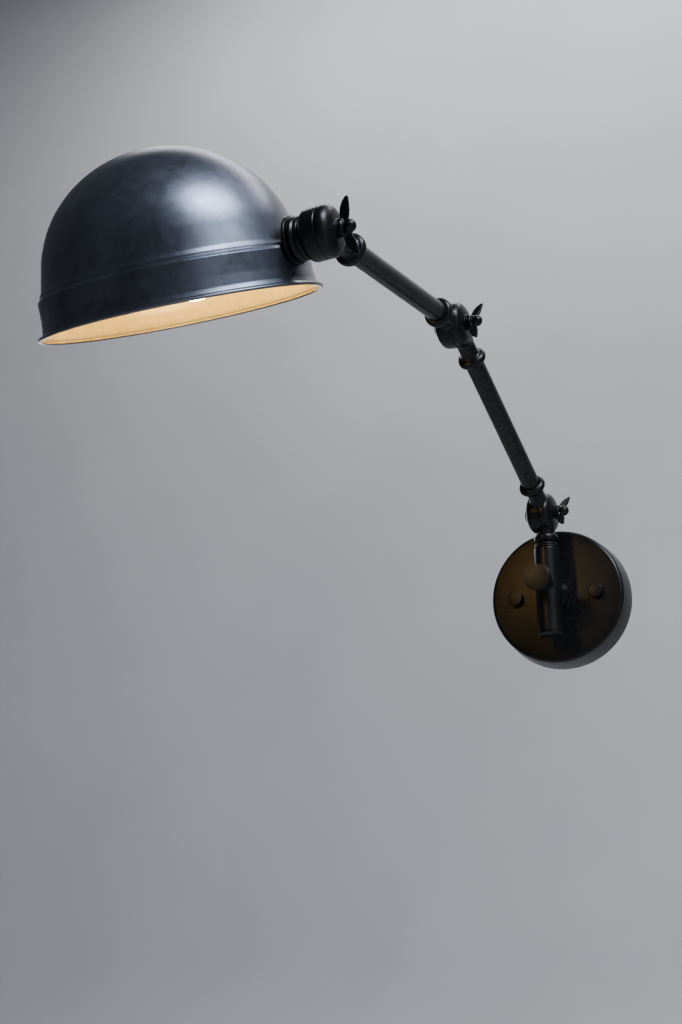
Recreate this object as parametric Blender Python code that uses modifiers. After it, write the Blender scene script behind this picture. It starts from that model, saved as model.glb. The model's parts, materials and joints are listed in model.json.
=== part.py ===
"""Swing arm wall sconce with a domed metal shade.

A round wall canopy carries a vertical post socket. A stem swivels in the socket,
and two tubular arms and the shade follow it, each on a drum knuckle with a wing nut.

World frame: the wall is the plane y = 0, the room is at -Y, and +Z is up. The origin is
the middle of the crossbar's back face. Every hinge frame has its X axis along the hinge,
and its -Y axis along the arm that starts there. Lengths are in metres.
"""

import math

import bmesh
import bpy
from mathutils import Matrix

# --- Clearances and detail -------------------------------------------------------
GAP = 0.0003
OVERCUT = 0.002
FINE = 32
ROUND = 20
SMALL = 14
TINY = 10
TOOL_SPIN = 3.1

# --- Pose at rest, in degrees ----------------------------------------------------
SWIVEL_TURN = -3.3
LOWER_RISE = 28.0
UPPER_RISE = -6.6
SHADE_TILT = 25.2
WING_LEANS = (-36.0, -23.0, 26.0)

# --- Canopy and its fixings ------------------------------------------------------
CANOPY_RADIUS = 0.060
CANOPY_RIM_RADIUS = 0.062
CANOPY_DEPTH = 0.027
CANOPY_WALL = 0.0018
CANOPY_ROUNDING = 0.0035
BAR_LENGTH = 0.098
BAR_HEIGHT = 0.018
BAR_THICK = 0.0025
STUD_X = 0.0365
STUD_RADIUS = 0.002
CAP_NUT_RADIUS = 0.0062
CAP_NUT_HEIGHT = 0.0052
SLOT_X = 0.022
SLOT_LENGTH = 0.012
SLOT_RADIUS = 0.0024
TERMINAL_X = 0.004
EARTH_SCREW_AT = (-0.0105, 0.0, 0.0)

# --- Post socket and swivel ------------------------------------------------------
POST_OUT = 0.050
SLEEVE_RADIUS = 0.0112
SLEEVE_BORE = 0.0093
SLEEVE_TOP = 0.0368
SLEEVE_BOTTOM = -0.0385
BUSH_BORE = 0.0078
PIN_RADIUS = 0.0075
PIN_BORE = 0.0048
PIN_BOTTOM = -0.030
BOSS_RADIUS = 0.0085
NIPPLE_RADIUS = 0.005
NIPPLE_BORE = 0.0034
NIPPLE_END = 0.0165
KNOB_Z = 0.003
KNOB_RADIUS = 0.0116
KNOB_THICK = 0.006
KNOB_FACE = 0.0363
KNOB_SCREW = 0.003

# --- Knuckles --------------------------------------------------------------------
HINGE_1_Z = 0.0700
ARM_LENGTH = 0.219
DRUM_RADIUS = 0.0178
RIGHT_WIDTH = 0.0100
LEFT_WIDTH = 0.0140
BOSS_RISE = 0.0003
RIGHT_FULLNESS = 0.85
LEFT_FULLNESS = 0.55
DRUM_BOSS = 0.0066
CAVITY_RADIUS = 0.0134
CAVITY_DEPTH = 0.0065
BOLT_RADIUS = 0.003
BOLT_HEAD_RADIUS = 0.0068
BOLT_HEAD_HEIGHT = 0.0028
WASHER_RADIUS = 0.0062
WASHER_THICK = 0.0010
NECK_RADIUS = 0.0074
NECK_BORE = 0.0045
COLLAR_CENTRE = 0.0352
COLLAR_RADIUS = 0.0118
COLLAR_ROUND = 0.0040
SOCKET_DEPTH = 0.0080
TUBE_RADIUS = 0.0079
TUBE_WALL = 0.0012
FLEX_RADIUS = 0.0019
FLEX_SIDE = 0.0023

# --- Wing nut --------------------------------------------------------------------
NUT_BASE_RADIUS = 0.0058
NUT_BALL_RADIUS = 0.0045
NUT_BALL_HEIGHT = 0.0058
WING_REACH = 0.0195
WING_THICK = 0.0026
NUT_BASE = RIGHT_WIDTH + BOSS_RISE + GAP + WASHER_THICK + GAP

# --- Shade and lampholder --------------------------------------------------------
MOUTH_RADIUS = 0.100
DOME_RADIUS = 0.090
DOME_HEIGHT = 0.085
DOME_SWEEP = 80.5
DOME_BASE = 0.030
BAND_RADIUS = 0.0950
SHADE_WALL = 0.0012
HOLDER_LENGTH = 0.0299
HOLDER_FLANGE_RADIUS = 0.0168
HOLDER_NIPPLE_RADIUS = 0.0062
HOLDER_BORE = 0.0040
LAMP_RADIUS = 0.019
BULB_RADIUS = 0.0225


# --- Scene helpers ---------------------------------------------------------------
def clear_scene():
    for obj in list(bpy.data.objects):
        bpy.data.objects.remove(obj, do_unlink=True)


def new_collection(name):
    collection = bpy.data.collections.new(name)
    bpy.context.scene.collection.children.link(collection)
    return collection


def new_material(name, colour, metallic, roughness):
    material = bpy.data.materials.new(name)
    material.use_nodes = True
    shader = material.node_tree.nodes["Principled BSDF"]
    shader.inputs["Base Color"].default_value = (*colour, 1.0)
    shader.inputs["Metallic"].default_value = metallic
    shader.inputs["Roughness"].default_value = roughness
    return material


def new_empty(name, parent, location, rotation=(0.0, 0.0, 0.0)):
    empty = bpy.data.objects.new(name, None)
    PARTS.objects.link(empty)
    empty.parent = parent
    empty.location = location
    empty.rotation_euler = [math.radians(angle) for angle in rotation]
    return empty


def place(obj, material, parent, location, turn):
    """Link an object to the parts, at a location and a turn in its parent's frame."""
    PARTS.objects.link(obj)
    obj.parent = parent
    obj.matrix_basis = Matrix.Translation(location) @ turn.to_4x4()
    if material:
        obj.data.materials.append(material)
    return obj


def towards(direction):
    """The turn that takes local +Z to a direction along one of the axes."""
    return {
        "+X": Matrix.Rotation(math.radians(90), 3, "Y"),
        "-X": Matrix.Rotation(math.radians(-90), 3, "Y"),
        "+Y": Matrix.Rotation(math.radians(-90), 3, "X"),
        "-Y": Matrix.Rotation(math.radians(90), 3, "X"),
        "+Z": Matrix.Identity(3),
        "-Z": Matrix.Rotation(math.radians(180), 3, "X"),
    }[direction]


# --- Shape helpers ---------------------------------------------------------------
def turned(name, profile, material, parent, direction, location=(0, 0, 0), segments=SMALL,
           closed=False):
    """Turn a profile of (radius, height) points, outer side first and top to bottom.

    A tool, which has no material, is spun a little about its own axis, so that its
    facets never line up with those of the shape that it cuts or joins.
    """
    mesh = bpy.data.meshes.new(name)
    edges = [(i, i + 1) for i in range(len(profile) - 1)]
    if closed:
        edges.append((len(profile) - 1, 0))
    mesh.from_pydata([(radius, 0.0, height) for radius, height in profile], edges, [])
    turn = towards(direction)
    if material is None:
        turn = turn @ Matrix.Rotation(math.radians(TOOL_SPIN), 3, "Z")
    obj = place(bpy.data.objects.new(name, mesh), material, parent, location, turn)
    screw = obj.modifiers.new("turn", "SCREW")
    screw.steps = segments
    screw.render_steps = segments
    screw.use_merge_vertices = True
    screw.merge_threshold = 0.00001
    screw.use_smooth_shade = True
    return obj


def disc(radius, top, bottom):
    """The profile of a solid cylinder."""
    return [(0, top), (radius, top), (radius, bottom), (0, bottom)]


def chamfered_disc(radius, top, bottom, chamfer):
    """The profile of a solid cylinder whose two rims are chamfered."""
    return [
        (0, top),
        (radius - chamfer, top),
        (radius, top - chamfer),
        (radius, bottom + chamfer),
        (radius - chamfer, bottom),
        (0, bottom),
    ]


def ring(outer, inner, top, bottom):
    """The closed profile of a ring or tube."""
    return [(outer, top), (outer, bottom), (inner, bottom), (inner, top)]


def arc(centre, radius, start, end, count):
    """Points of an arc in a profile, by angle in degrees from the +radius direction."""
    points = []
    for i in range(count + 1):
        angle = math.radians(start + (end - start) * i / count)
        points.append((centre[0] + radius * math.cos(angle), centre[1] + radius * math.sin(angle)))
    return points


def box(name, size, material, parent, location, bevel=0.0):
    mesh = bpy.data.meshes.new(name)
    cage = bmesh.new()
    bmesh.ops.create_cube(cage, size=1.0, matrix=Matrix.Diagonal((*size, 1.0)))
    cage.to_mesh(mesh)
    cage.free()
    obj = place(bpy.data.objects.new(name, mesh), material, parent, location, towards("+Z"))
    if bevel:
        rounding = obj.modifiers.new("rounding", "BEVEL")
        rounding.width = bevel
        rounding.segments = 2
    return obj


def hexagon(name, across, height, hole, material, parent, direction, location):
    """A hexagon nut or head, with a hole through it when hole is above zero."""
    radius = across / math.sqrt(3)
    nut = turned(name, disc(radius, height, 0), material, parent, direction, location, 6)
    nut.modifiers["turn"].use_smooth_shade = False
    if hole:
        bore = disc(hole, height + OVERCUT, -OVERCUT)
        cut(nut, turned(name + "_bore", bore, None, parent, direction, location, SMALL))
    return nut


def flex(name, points, parent):
    """A length of round flex through a list of points."""
    curve = bpy.data.curves.new(name, "CURVE")
    curve.dimensions = "3D"
    curve.bevel_depth = FLEX_RADIUS
    curve.bevel_resolution = 2
    curve.use_fill_caps = True
    spline = curve.splines.new("POLY")
    spline.points.add(len(points) - 1)
    for knot, point in zip(spline.points, points):
        knot.co = (*point, 1.0)
    return place(bpy.data.objects.new(name, curve), FLEX_BLACK, parent, (0, 0, 0), towards("+Z"))


def use_as_tool(tool):
    PARTS.objects.unlink(tool)
    CUTTERS.objects.link(tool)
    tool.hide_render = True
    tool.display_type = "WIRE"


def boolean(target, tool, operation):
    modifier = target.modifiers.new(tool.name, "BOOLEAN")
    modifier.operation = operation
    modifier.solver = "EXACT"
    modifier.object = tool
    use_as_tool(tool)


def cut(target, tool):
    boolean(target, tool, "DIFFERENCE")


def join(target, tool):
    boolean(target, tool, "UNION")


# --- Canopy and fixings ----------------------------------------------------------
def make_canopy():
    corner = (CANOPY_RADIUS - CANOPY_ROUNDING, CANOPY_DEPTH - CANOPY_ROUNDING)
    profile = [(NIPPLE_RADIUS + GAP, CANOPY_DEPTH)]
    profile += arc(corner, CANOPY_ROUNDING, 90, 0, 4)
    profile += [(CANOPY_RIM_RADIUS, 0.0)]
    canopy = turned("canopy", profile, SATIN_BLACK, None, "-Y", segments=FINE)
    shell = canopy.modifiers.new("wall", "SOLIDIFY")
    shell.thickness = CANOPY_WALL
    shell.offset = -1.0
    shell.use_even_offset = True
    for side in (-1, 1):
        hole = disc(STUD_RADIUS + GAP, CANOPY_DEPTH + OVERCUT, CANOPY_DEPTH - 2 * OVERCUT)
        cut(canopy, turned("canopy_stud_hole", hole, None, None, "-Y", (side * STUD_X, 0, 0), TINY))
    return canopy


def make_crossbar():
    bar = box("crossbar", (BAR_LENGTH, BAR_THICK, BAR_HEIGHT), ZINC, None,
              (0, -BAR_THICK / 2, 0))
    for side in (-1, 1):
        hole = disc(STUD_RADIUS + GAP, BAR_THICK + OVERCUT, -OVERCUT)
        cut(bar, turned("bar_stud_hole", hole, None, None, "-Y", (side * STUD_X, 0, 0), TINY))
        for end in (-1, 1):
            x = side * SLOT_X + end * (SLOT_LENGTH / 2 - SLOT_RADIUS)
            slot_end = disc(SLOT_RADIUS, BAR_THICK + OVERCUT, -OVERCUT)
            cut(bar, turned("bar_slot_end", slot_end, None, None, "-Y", (x, 0, 0), TINY))
        slot = (SLOT_LENGTH - 2 * SLOT_RADIUS, BAR_THICK + 2 * OVERCUT, 1.9 * SLOT_RADIUS)
        cut(bar, box("bar_slot", slot, None, None, (side * SLOT_X, -BAR_THICK / 2, 0)))
    hole = disc(0.0018, BAR_THICK + OVERCUT, -OVERCUT)
    cut(bar, turned("bar_earth_hole", hole, None, None, "-Y", EARTH_SCREW_AT, TINY))
    return bar


def make_fixings():
    for side, word in ((-1, "left"), (1, "right")):
        x = side * STUD_X
        tip = CANOPY_DEPTH + CAP_NUT_HEIGHT - 0.0018
        stud = chamfered_disc(STUD_RADIUS, tip, GAP, 0.0004)
        turned("stud_" + word, stud, ZINC, None, "-Y", (x, 0, 0), TINY)
        top = CAP_NUT_HEIGHT
        nut = [(0, top), (CAP_NUT_RADIUS - 0.0012, top)]
        nut += arc((CAP_NUT_RADIUS - 0.0012, top - 0.0012), 0.0012, 60, 0, 2)
        nut += [(CAP_NUT_RADIUS, 0.0008), (CAP_NUT_RADIUS - 0.0006, 0)]
        nut += [(STUD_RADIUS + GAP, 0), (STUD_RADIUS + GAP, top - 0.0014), (0, top - 0.0014)]
        turned("cap_nut_" + word, nut, SATIN_BLACK, None, "-Y", (x, -CANOPY_DEPTH - GAP, 0), SMALL)
    screw = [(0, 0.0062), (0.0030, 0.0062), (0.0038, 0.0050), (0.0038, 0.0032 - GAP)]
    screw += [(0.0015, 0.0032 - GAP), (0.0015, GAP), (0, GAP)]
    turned("earth_screw", screw, BRASS, None, "-Y", EARTH_SCREW_AT, TINY)


def make_terminal_block():
    block = box("terminal_block", (0.018, 0.0085, 0.012), WHITE_NYLON, None,
                (TERMINAL_X, -BAR_THICK - GAP - 0.00425, 0), 0.0008)
    for side in (-1, 1):
        well = disc(0.0018, 0.0125, 0.0060)
        at = (TERMINAL_X + side * 0.0045, 0, 0.0028)
        cut(block, turned("terminal_well", well, None, None, "-Y", at, TINY))


# --- Post socket, swivel and lock knob -------------------------------------------
def make_post_socket():
    sleeve = [
        (0, SLEEVE_TOP),
        (SLEEVE_RADIUS - 0.0008, SLEEVE_TOP),
        (SLEEVE_RADIUS, SLEEVE_TOP - 0.0008),
        (SLEEVE_RADIUS, SLEEVE_BOTTOM + 0.0008),
        (SLEEVE_RADIUS - 0.0008, SLEEVE_BOTTOM),
        (0, SLEEVE_BOTTOM),
    ]
    axis = (0, -POST_OUT, 0)
    socket = turned("post_socket", sleeve, SATIN_BLACK, None, "+Z", axis, ROUND)
    face = CANOPY_DEPTH + GAP
    inside = POST_OUT - 0.004
    boss = [(0, inside), (BOSS_RADIUS, inside), (BOSS_RADIUS, face + 0.006)]
    boss += [(BOSS_RADIUS + 0.004, face + 0.0025), (BOSS_RADIUS + 0.004, face)]
    boss += [(NIPPLE_RADIUS, face), (NIPPLE_RADIUS, NIPPLE_END), (0, NIPPLE_END)]
    join(socket, turned("socket_boss", boss, None, None, "-Y", segments=SMALL))
    pad = disc(0.0062, POST_OUT + SLEEVE_RADIUS + 0.0028, POST_OUT + 0.004)
    join(socket, turned("socket_screw_pad", pad, None, None, "-Y", (0, 0, KNOB_Z), SMALL))
    bore = disc(SLEEVE_BORE, SLEEVE_TOP + OVERCUT, SLEEVE_BOTTOM - OVERCUT)
    cut(socket, turned("socket_bore", bore, None, None, "+Z", axis, ROUND))
    wire_way = disc(NIPPLE_BORE, inside + OVERCUT, NIPPLE_END - OVERCUT)
    cut(socket, turned("socket_wire_way", wire_way, None, None, "-Y", segments=TINY))
    screw_way = disc(KNOB_SCREW + GAP, POST_OUT + 0.020, POST_OUT + 0.003)
    cut(socket, turned("socket_screw_way", screw_way, None, None, "-Y", (0, 0, KNOB_Z), TINY))


def make_swivel_bearing():
    axis = (0, -POST_OUT, 0)
    outer = SLEEVE_BORE - GAP
    bush = ring(outer, BUSH_BORE, SLEEVE_TOP - GAP, PIN_BOTTOM)
    lining = turned("swivel_bush", bush, BRASS, None, "+Z", axis, SMALL, closed=True)
    window = (0.009, 0.012, 0.011)
    cut(lining, box("bush_wire_window", window, None, None, (0, -POST_OUT + 0.008, 0)))
    screw_way = disc(KNOB_SCREW + GAP, POST_OUT + 0.012, POST_OUT)
    cut(lining, turned("bush_screw_way", screw_way, None, None, "-Y", (0, 0, KNOB_Z), TINY))
    plug = [(0, SLEEVE_BOTTOM + 0.004), (outer, SLEEVE_BOTTOM + 0.004)]
    plug += [(outer, SLEEVE_BOTTOM - GAP), (SLEEVE_RADIUS, SLEEVE_BOTTOM - GAP)]
    plug += [(SLEEVE_RADIUS, SLEEVE_BOTTOM - 0.0012), (SLEEVE_RADIUS - 0.0012, SLEEVE_BOTTOM - 0.002)]
    plug += [(0, SLEEVE_BOTTOM - 0.002)]
    turned("sleeve_plug", plug, SATIN_BLACK, None, "+Z", axis, SMALL)
    washer_top = CANOPY_DEPTH - CANOPY_WALL - GAP
    washer = ring(0.0095, NIPPLE_RADIUS + GAP, washer_top, washer_top - 0.001)
    turned("socket_washer", washer, ZINC, None, "-Y", segments=SMALL, closed=True)
    nut_base = washer_top - 0.001 - GAP - 0.004
    hexagon("socket_nut", 0.014, 0.004, NIPPLE_RADIUS + GAP, ZINC, None, "-Y", (0, -nut_base, 0))
    flex("canopy_flex", [(0, -0.0125, 0), (0, -0.026, 0), (0, -0.0395, 0)], None)


def make_lock_knob():
    """A thumb screw whose tip bears on the swivel pin and holds it still."""
    tip = PIN_RADIUS + GAP
    hub = KNOB_FACE - KNOB_THICK
    rim = 0.0009
    screw = [(0, KNOB_FACE), (KNOB_RADIUS - 2 * rim, KNOB_FACE)]
    screw += arc((KNOB_RADIUS - rim, KNOB_FACE - rim), rim, 60, 0, 2)
    screw += [(KNOB_RADIUS, hub + rim), (KNOB_RADIUS - rim, hub), (0.0056, hub)]
    screw += [(0.0046, hub - 0.002), (0.0046, hub - 0.008), (KNOB_SCREW, hub - 0.0095)]
    screw += [(KNOB_SCREW, tip + 0.001), (KNOB_SCREW - 0.001, tip), (0, tip)]
    turned("swivel_lock_knob", screw, SATIN_BLACK, KNOB_FRAME, "-Y", segments=SMALL)


# --- Knuckles --------------------------------------------------------------------
def drum_profile(width, fullness):
    """Half of a knuckle's drum: a flat boss, a domed shoulder and a straight rim.

    A fullness of 1 makes the shoulder an ellipse, and a lower one fills out its corner.
    The rim runs past the plane between the halves, and is trimmed back to it later.
    """
    shoulder = DRUM_RADIUS - DRUM_BOSS
    straight = 0.0018
    top = width + BOSS_RISE
    rise = width - straight - BOSS_RISE
    points = [(0, top), (DRUM_BOSS - 0.0004, top)]
    for i in range(7):
        angle = math.radians(15 * i)
        out = max(math.sin(angle), 0.0) ** fullness
        up = max(math.cos(angle), 0.0) ** fullness
        points.append((DRUM_BOSS + shoulder * out, straight + rise * up))
    return points + [(DRUM_RADIUS, -OVERCUT / 2), (0, -OVERCUT / 2)]


def cavity_profile():
    return [
        (0, CAVITY_DEPTH),
        (CAVITY_RADIUS - 0.0022, CAVITY_DEPTH),
        (CAVITY_RADIUS, CAVITY_DEPTH - 0.0022),
        (CAVITY_RADIUS, -OVERCUT),
        (0, -OVERCUT),
    ]


def tube_neck_profile():
    """A waisted neck from the drum to the rounded collar that the tube enters."""
    end = COLLAR_CENTRE + COLLAR_ROUND
    points = [(0, end), (COLLAR_RADIUS - 0.0024, end)]
    points += arc((COLLAR_RADIUS - COLLAR_ROUND, COLLAR_CENTRE), COLLAR_ROUND, 60, -60, 4)
    points += [(NECK_RADIUS + 0.0010, COLLAR_CENTRE - COLLAR_ROUND)]
    points += [(NECK_RADIUS, COLLAR_CENTRE - COLLAR_ROUND - 0.0014)]
    points += [(NECK_RADIUS, 0.0215), (NECK_RADIUS + 0.0008, 0.0190)]
    return points + [(NECK_RADIUS + 0.0024, 0.0160), (NECK_RADIUS + 0.0024, 0.008), (0, 0.008)]


def tube_neck_bore():
    end = COLLAR_CENTRE + COLLAR_ROUND
    floor = end - SOCKET_DEPTH
    socket = TUBE_RADIUS + GAP
    return [
        (0, end + OVERCUT),
        (socket, end + OVERCUT),
        (socket, floor),
        (NECK_BORE, floor),
        (NECK_BORE, 0.006),
        (0, 0.006),
    ]


def stem_neck_profile():
    """The turned foot of the stem: a waist, an oblate ball and two rings."""
    foot = HINGE_1_Z - SLEEVE_TOP - GAP
    ball = foot - 0.0092
    points = [(0, foot), (0.0108, foot), (0.0112, foot - 0.0008), (0.0108, foot - 0.0016)]
    points += [(0.0098, foot - 0.0020), (0.0112, foot - 0.0028), (0.0106, foot - 0.0038)]
    points += [(0.0082, foot - 0.0046)]
    for i in range(5):
        angle = math.radians(60 - 30 * i)
        points.append((0.0060 + 0.0046 * math.cos(angle), ball + 0.0044 * math.sin(angle)))
    return points + [(0.0072, 0.0196), (0.0086, 0.0172), (0.0086, 0.008), (0, 0.008)]


def stem_neck_bore():
    foot = HINGE_1_Z - SLEEVE_TOP - GAP
    seat = foot - 0.012
    socket = PIN_RADIUS + GAP
    return [
        (0, foot + OVERCUT),
        (socket, foot + OVERCUT),
        (socket, seat),
        (NECK_BORE, seat),
        (NECK_BORE, 0.006),
        (0, 0.006),
    ]


def make_knuckle_half(name, hinge, side, neck, neck_profile, neck_bore):
    """One hollow half of a knuckle, its neck in the plane that the two halves share."""
    out, other, width, fullness = "+X", "-X", RIGHT_WIDTH, RIGHT_FULLNESS
    if side < 0:
        out, other, width, fullness = "-X", "+X", LEFT_WIDTH, LEFT_FULLNESS
    drum = drum_profile(width, fullness)
    half = turned(name, drum, SATIN_BLACK, hinge, out, segments=ROUND)
    join(half, turned(name + "_neck", neck_profile, None, hinge, neck, segments=SMALL))
    swept = disc(DRUM_RADIUS + GAP, LEFT_WIDTH + 0.004, -GAP / 2)
    cut(half, turned(name + "_sweep", swept, None, hinge, other, segments=ROUND))
    cut(half, turned(name + "_cavity", cavity_profile(), None, hinge, out, segments=ROUND))
    cut(half, turned(name + "_bore", neck_bore, None, hinge, neck, segments=SMALL))
    bolt_way = disc(BOLT_RADIUS + GAP, width + OVERCUT, 0.0)
    cut(half, turned(name + "_bolt_way", bolt_way, None, hinge, out, segments=TINY))
    return half


def make_bolt(name, hinge, head_at):
    """A knuckle bolt: its head is on the left, its thread ends inside the wing nut."""
    tip = NUT_BASE + NUT_BALL_HEIGHT - 0.0012
    bolt = [(0, tip), (BOLT_RADIUS - 0.0005, tip), (BOLT_RADIUS, tip - 0.0005)]
    bolt += [(BOLT_RADIUS, -head_at), (BOLT_HEAD_RADIUS, -head_at)]
    bolt += [(BOLT_HEAD_RADIUS, -head_at - 0.0012)]
    for i in range(1, 4):
        angle = math.radians(30 * i)
        drop = (BOLT_HEAD_HEIGHT - 0.0012) * math.sin(angle)
        bolt.append((BOLT_HEAD_RADIUS * math.cos(angle), -head_at - 0.0012 - drop))
    bolt[-1] = (0, bolt[-1][1])
    turned(name, bolt, DARK_STEEL, hinge, "+X", segments=SMALL)


def make_washer(name, hinge):
    base = RIGHT_WIDTH + BOSS_RISE + GAP
    washer = ring(WASHER_RADIUS, BOLT_RADIUS + GAP, base + WASHER_THICK, base)
    turned(name, washer, DARK_STEEL, hinge, "+X", segments=SMALL, closed=True)


def make_wing_nut(name, frame):
    """A turned hub with a ball end, and two thin blades that flare away from the drum."""
    base = NUT_BASE
    ball = base + NUT_BALL_HEIGHT
    hub = arc((0, ball), NUT_BALL_RADIUS, 90, -35, 6)
    hub[0] = (0, hub[0][1])
    hub += [(NUT_BASE_RADIUS - 0.0008, base + 0.0026), (NUT_BASE_RADIUS, base + 0.0016)]
    hub += [(NUT_BASE_RADIUS, base), (BOLT_RADIUS + GAP, base)]
    hub += [(BOLT_RADIUS + GAP, ball - 0.0008), (0, ball - 0.0008)]
    nut = turned(name, hub, SATIN_BLACK, frame, "+X", segments=SMALL)
    reach = WING_REACH
    outline = [
        (0.0040, 0.0005),
        (0.0090, 0.0005),
        (0.0130, 0.0016),
        (0.0165, 0.0038),
        (reach - 0.0010, 0.0062),
        (reach, 0.0078),
        (reach - 0.0008, 0.0088),
        (0.0150, 0.0086),
        (0.0100, 0.0079),
        (0.0065, 0.0068),
        (0.0040, 0.0056),
    ]
    for side, word in ((1, "upper"), (-1, "lower")):
        curve = bpy.data.curves.new(name + "_" + word, "CURVE")
        curve.dimensions = "2D"
        curve.fill_mode = "BOTH"
        curve.extrude = WING_THICK / 2
        spline = curve.splines.new("POLY")
        spline.points.add(len(outline) - 1)
        for point, (out, along) in zip(spline.points, outline):
            point.co = (base + along, side * out, 0.0, 1.0)
        spline.use_cyclic_u = True
        blade = curve_to_mesh(name + "_" + word, curve)
        turn = Matrix.Rotation(math.radians(90), 3, "X")
        join(nut, place(blade, None, frame, (0, 0, 0), turn))
    return nut


def curve_to_mesh(name, curve):
    """A welded mesh object with the shape of a curve."""
    source = bpy.data.objects.new(name + "_outline", curve)
    bpy.context.scene.collection.objects.link(source)
    evaluated = source.evaluated_get(bpy.context.evaluated_depsgraph_get())
    mesh = bpy.data.meshes.new_from_object(evaluated)
    bpy.data.objects.remove(source, do_unlink=True)
    shape = bmesh.new()
    shape.from_mesh(mesh)
    bmesh.ops.remove_doubles(shape, verts=shape.verts, dist=0.00001)
    bmesh.ops.recalc_face_normals(shape, faces=shape.faces)
    shape.to_mesh(mesh)
    shape.free()
    return bpy.data.objects.new(name, mesh)


# --- Arms ------------------------------------------------------------------------
def make_arm(word, hinge, far):
    """A tube between a left knuckle half at its lower end and a right one at its upper end."""
    make_knuckle_half(word + "_arm_base_knuckle", hinge, -1, "-Y", tube_neck_profile(),
                      tube_neck_bore())
    make_knuckle_half(word + "_arm_end_knuckle", far, 1, "+Y", tube_neck_profile(),
                      tube_neck_bore())
    start = COLLAR_CENTRE + COLLAR_ROUND - SOCKET_DEPTH + GAP
    tube = ring(TUBE_RADIUS, TUBE_RADIUS - TUBE_WALL, ARM_LENGTH - start, start)
    turned(word + "_arm_tube", tube, SATIN_BLACK, hinge, "-Y", segments=SMALL, closed=True)
    inset = 0.009
    crossing = 0.034
    route = [
        (-FLEX_SIDE, -inset, 0),
        (-FLEX_SIDE, -crossing, 0),
        (0, -ARM_LENGTH / 2, 0),
        (FLEX_SIDE, -ARM_LENGTH + crossing, 0),
        (FLEX_SIDE, -ARM_LENGTH + inset, 0),
    ]
    flex(word + "_arm_flex", route, hinge)


def make_stem():
    make_knuckle_half("stem_knuckle", STEM_TOP, 1, "-Z", stem_neck_profile(), stem_neck_bore())
    seat = SLEEVE_TOP + GAP + 0.012 - GAP
    pin = ring(PIN_RADIUS, PIN_BORE, seat, PIN_BOTTOM)
    stem_pin = turned("swivel_pin", pin, BRASS, SWIVEL, "+Z", segments=SMALL, closed=True)
    window = (0.007, 0.010, 0.010)
    cut(stem_pin, box("pin_wire_window", window, None, SWIVEL, (0, 0.007, 0)))
    clip = ring(0.0086, PIN_BORE + 0.0004, PIN_BOTTOM - GAP, PIN_BOTTOM - 0.0013)
    turned("retaining_clip", clip, DARK_STEEL, SWIVEL, "+Z", segments=SMALL, closed=True)
    top = HINGE_1_Z - 0.009
    flex("stem_flex", [(FLEX_SIDE, 0, 0.008), (FLEX_SIDE, 0, 0.035), (FLEX_SIDE, 0, top)], SWIVEL)


# --- Shade, its holder and the lamp ----------------------------------------------
def make_shade_holder():
    """The left half of the last knuckle, drawn out to a round flange on the shade's side."""
    foot = HOLDER_LENGTH - 0.0054
    tip = HOLDER_LENGTH + 0.0075
    body = [(0, tip), (HOLDER_NIPPLE_RADIUS - 0.0005, tip), (HOLDER_NIPPLE_RADIUS, tip - 0.0005)]
    body += [(HOLDER_NIPPLE_RADIUS, foot)]
    body += [(HOLDER_FLANGE_RADIUS - 0.0004, foot), (HOLDER_FLANGE_RADIUS, foot - 0.0004)]
    body += [(HOLDER_FLANGE_RADIUS, foot - 0.0018), (HOLDER_FLANGE_RADIUS - 0.001, foot - 0.0024)]
    body += [(0.0138, foot - 0.0030)]
    body += arc((0.0136, foot - 0.0056), 0.0022, 60, -60, 4)
    body += [(0.0134, 0.0140), (0.0136, 0.0128)]
    body += arc((DRUM_RADIUS - 0.0030, 0.0092), 0.0030, 70, 0, 3)
    body += [(DRUM_RADIUS, GAP / 2), (0, GAP / 2)]
    holder = turned("shade_holder", body, SATIN_BLACK, SHADE_HINGE, "-X", segments=ROUND)
    cut(holder, turned("holder_cavity", cavity_profile(), None, SHADE_HINGE, "-X", segments=ROUND))
    web = CAVITY_DEPTH + 0.003
    room = [(0, foot - 0.001), (0.0088, foot - 0.001), (0.0088, web), (0, web)]
    cut(holder, turned("holder_room", room, None, SHADE_HINGE, "-X", segments=SMALL))
    way = disc(HOLDER_BORE, tip + OVERCUT, foot - 0.004)
    cut(holder, turned("holder_wire_way", way, None, SHADE_HINGE, "-X", segments=SMALL))
    bolt_way = disc(BOLT_RADIUS + GAP, web + 0.001, 0.0)
    cut(holder, turned("holder_bolt_way", bolt_way, None, SHADE_HINGE, "-X", segments=TINY))
    return holder


def shade_profile():
    """Outer outline from the crown to the lip, with heights from the dome's centre.

    The dome flares a little to a soft bead, then a groove, a shoulder and the band.
    """
    points = []
    for i in range(8):
        angle = math.radians(DOME_SWEEP * i / 7)
        points.append((DOME_RADIUS * math.sin(angle), DOME_HEIGHT * math.cos(angle)))
    mouth = -DOME_BASE
    points += [(DOME_RADIUS + 0.0006, mouth + 0.0360), (DOME_RADIUS + 0.0015, mouth + 0.0320)]
    points += [(DOME_RADIUS + 0.0027, mouth + 0.0297), (DOME_RADIUS + 0.0031, mouth + 0.0284)]
    points += [(DOME_RADIUS + 0.0036, mouth + 0.0271), (BAND_RADIUS - 0.0002, mouth + 0.0261)]
    points += [(BAND_RADIUS, mouth + 0.0255), (BAND_RADIUS + 0.0002, mouth + 0.0130)]
    points += [(BAND_RADIUS + 0.0010, mouth + 0.0060), (BAND_RADIUS + 0.0022, mouth + 0.0030)]
    return points + [(MOUTH_RADIUS - 0.0006, mouth + 0.0012), (MOUTH_RADIUS, mouth)]


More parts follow.
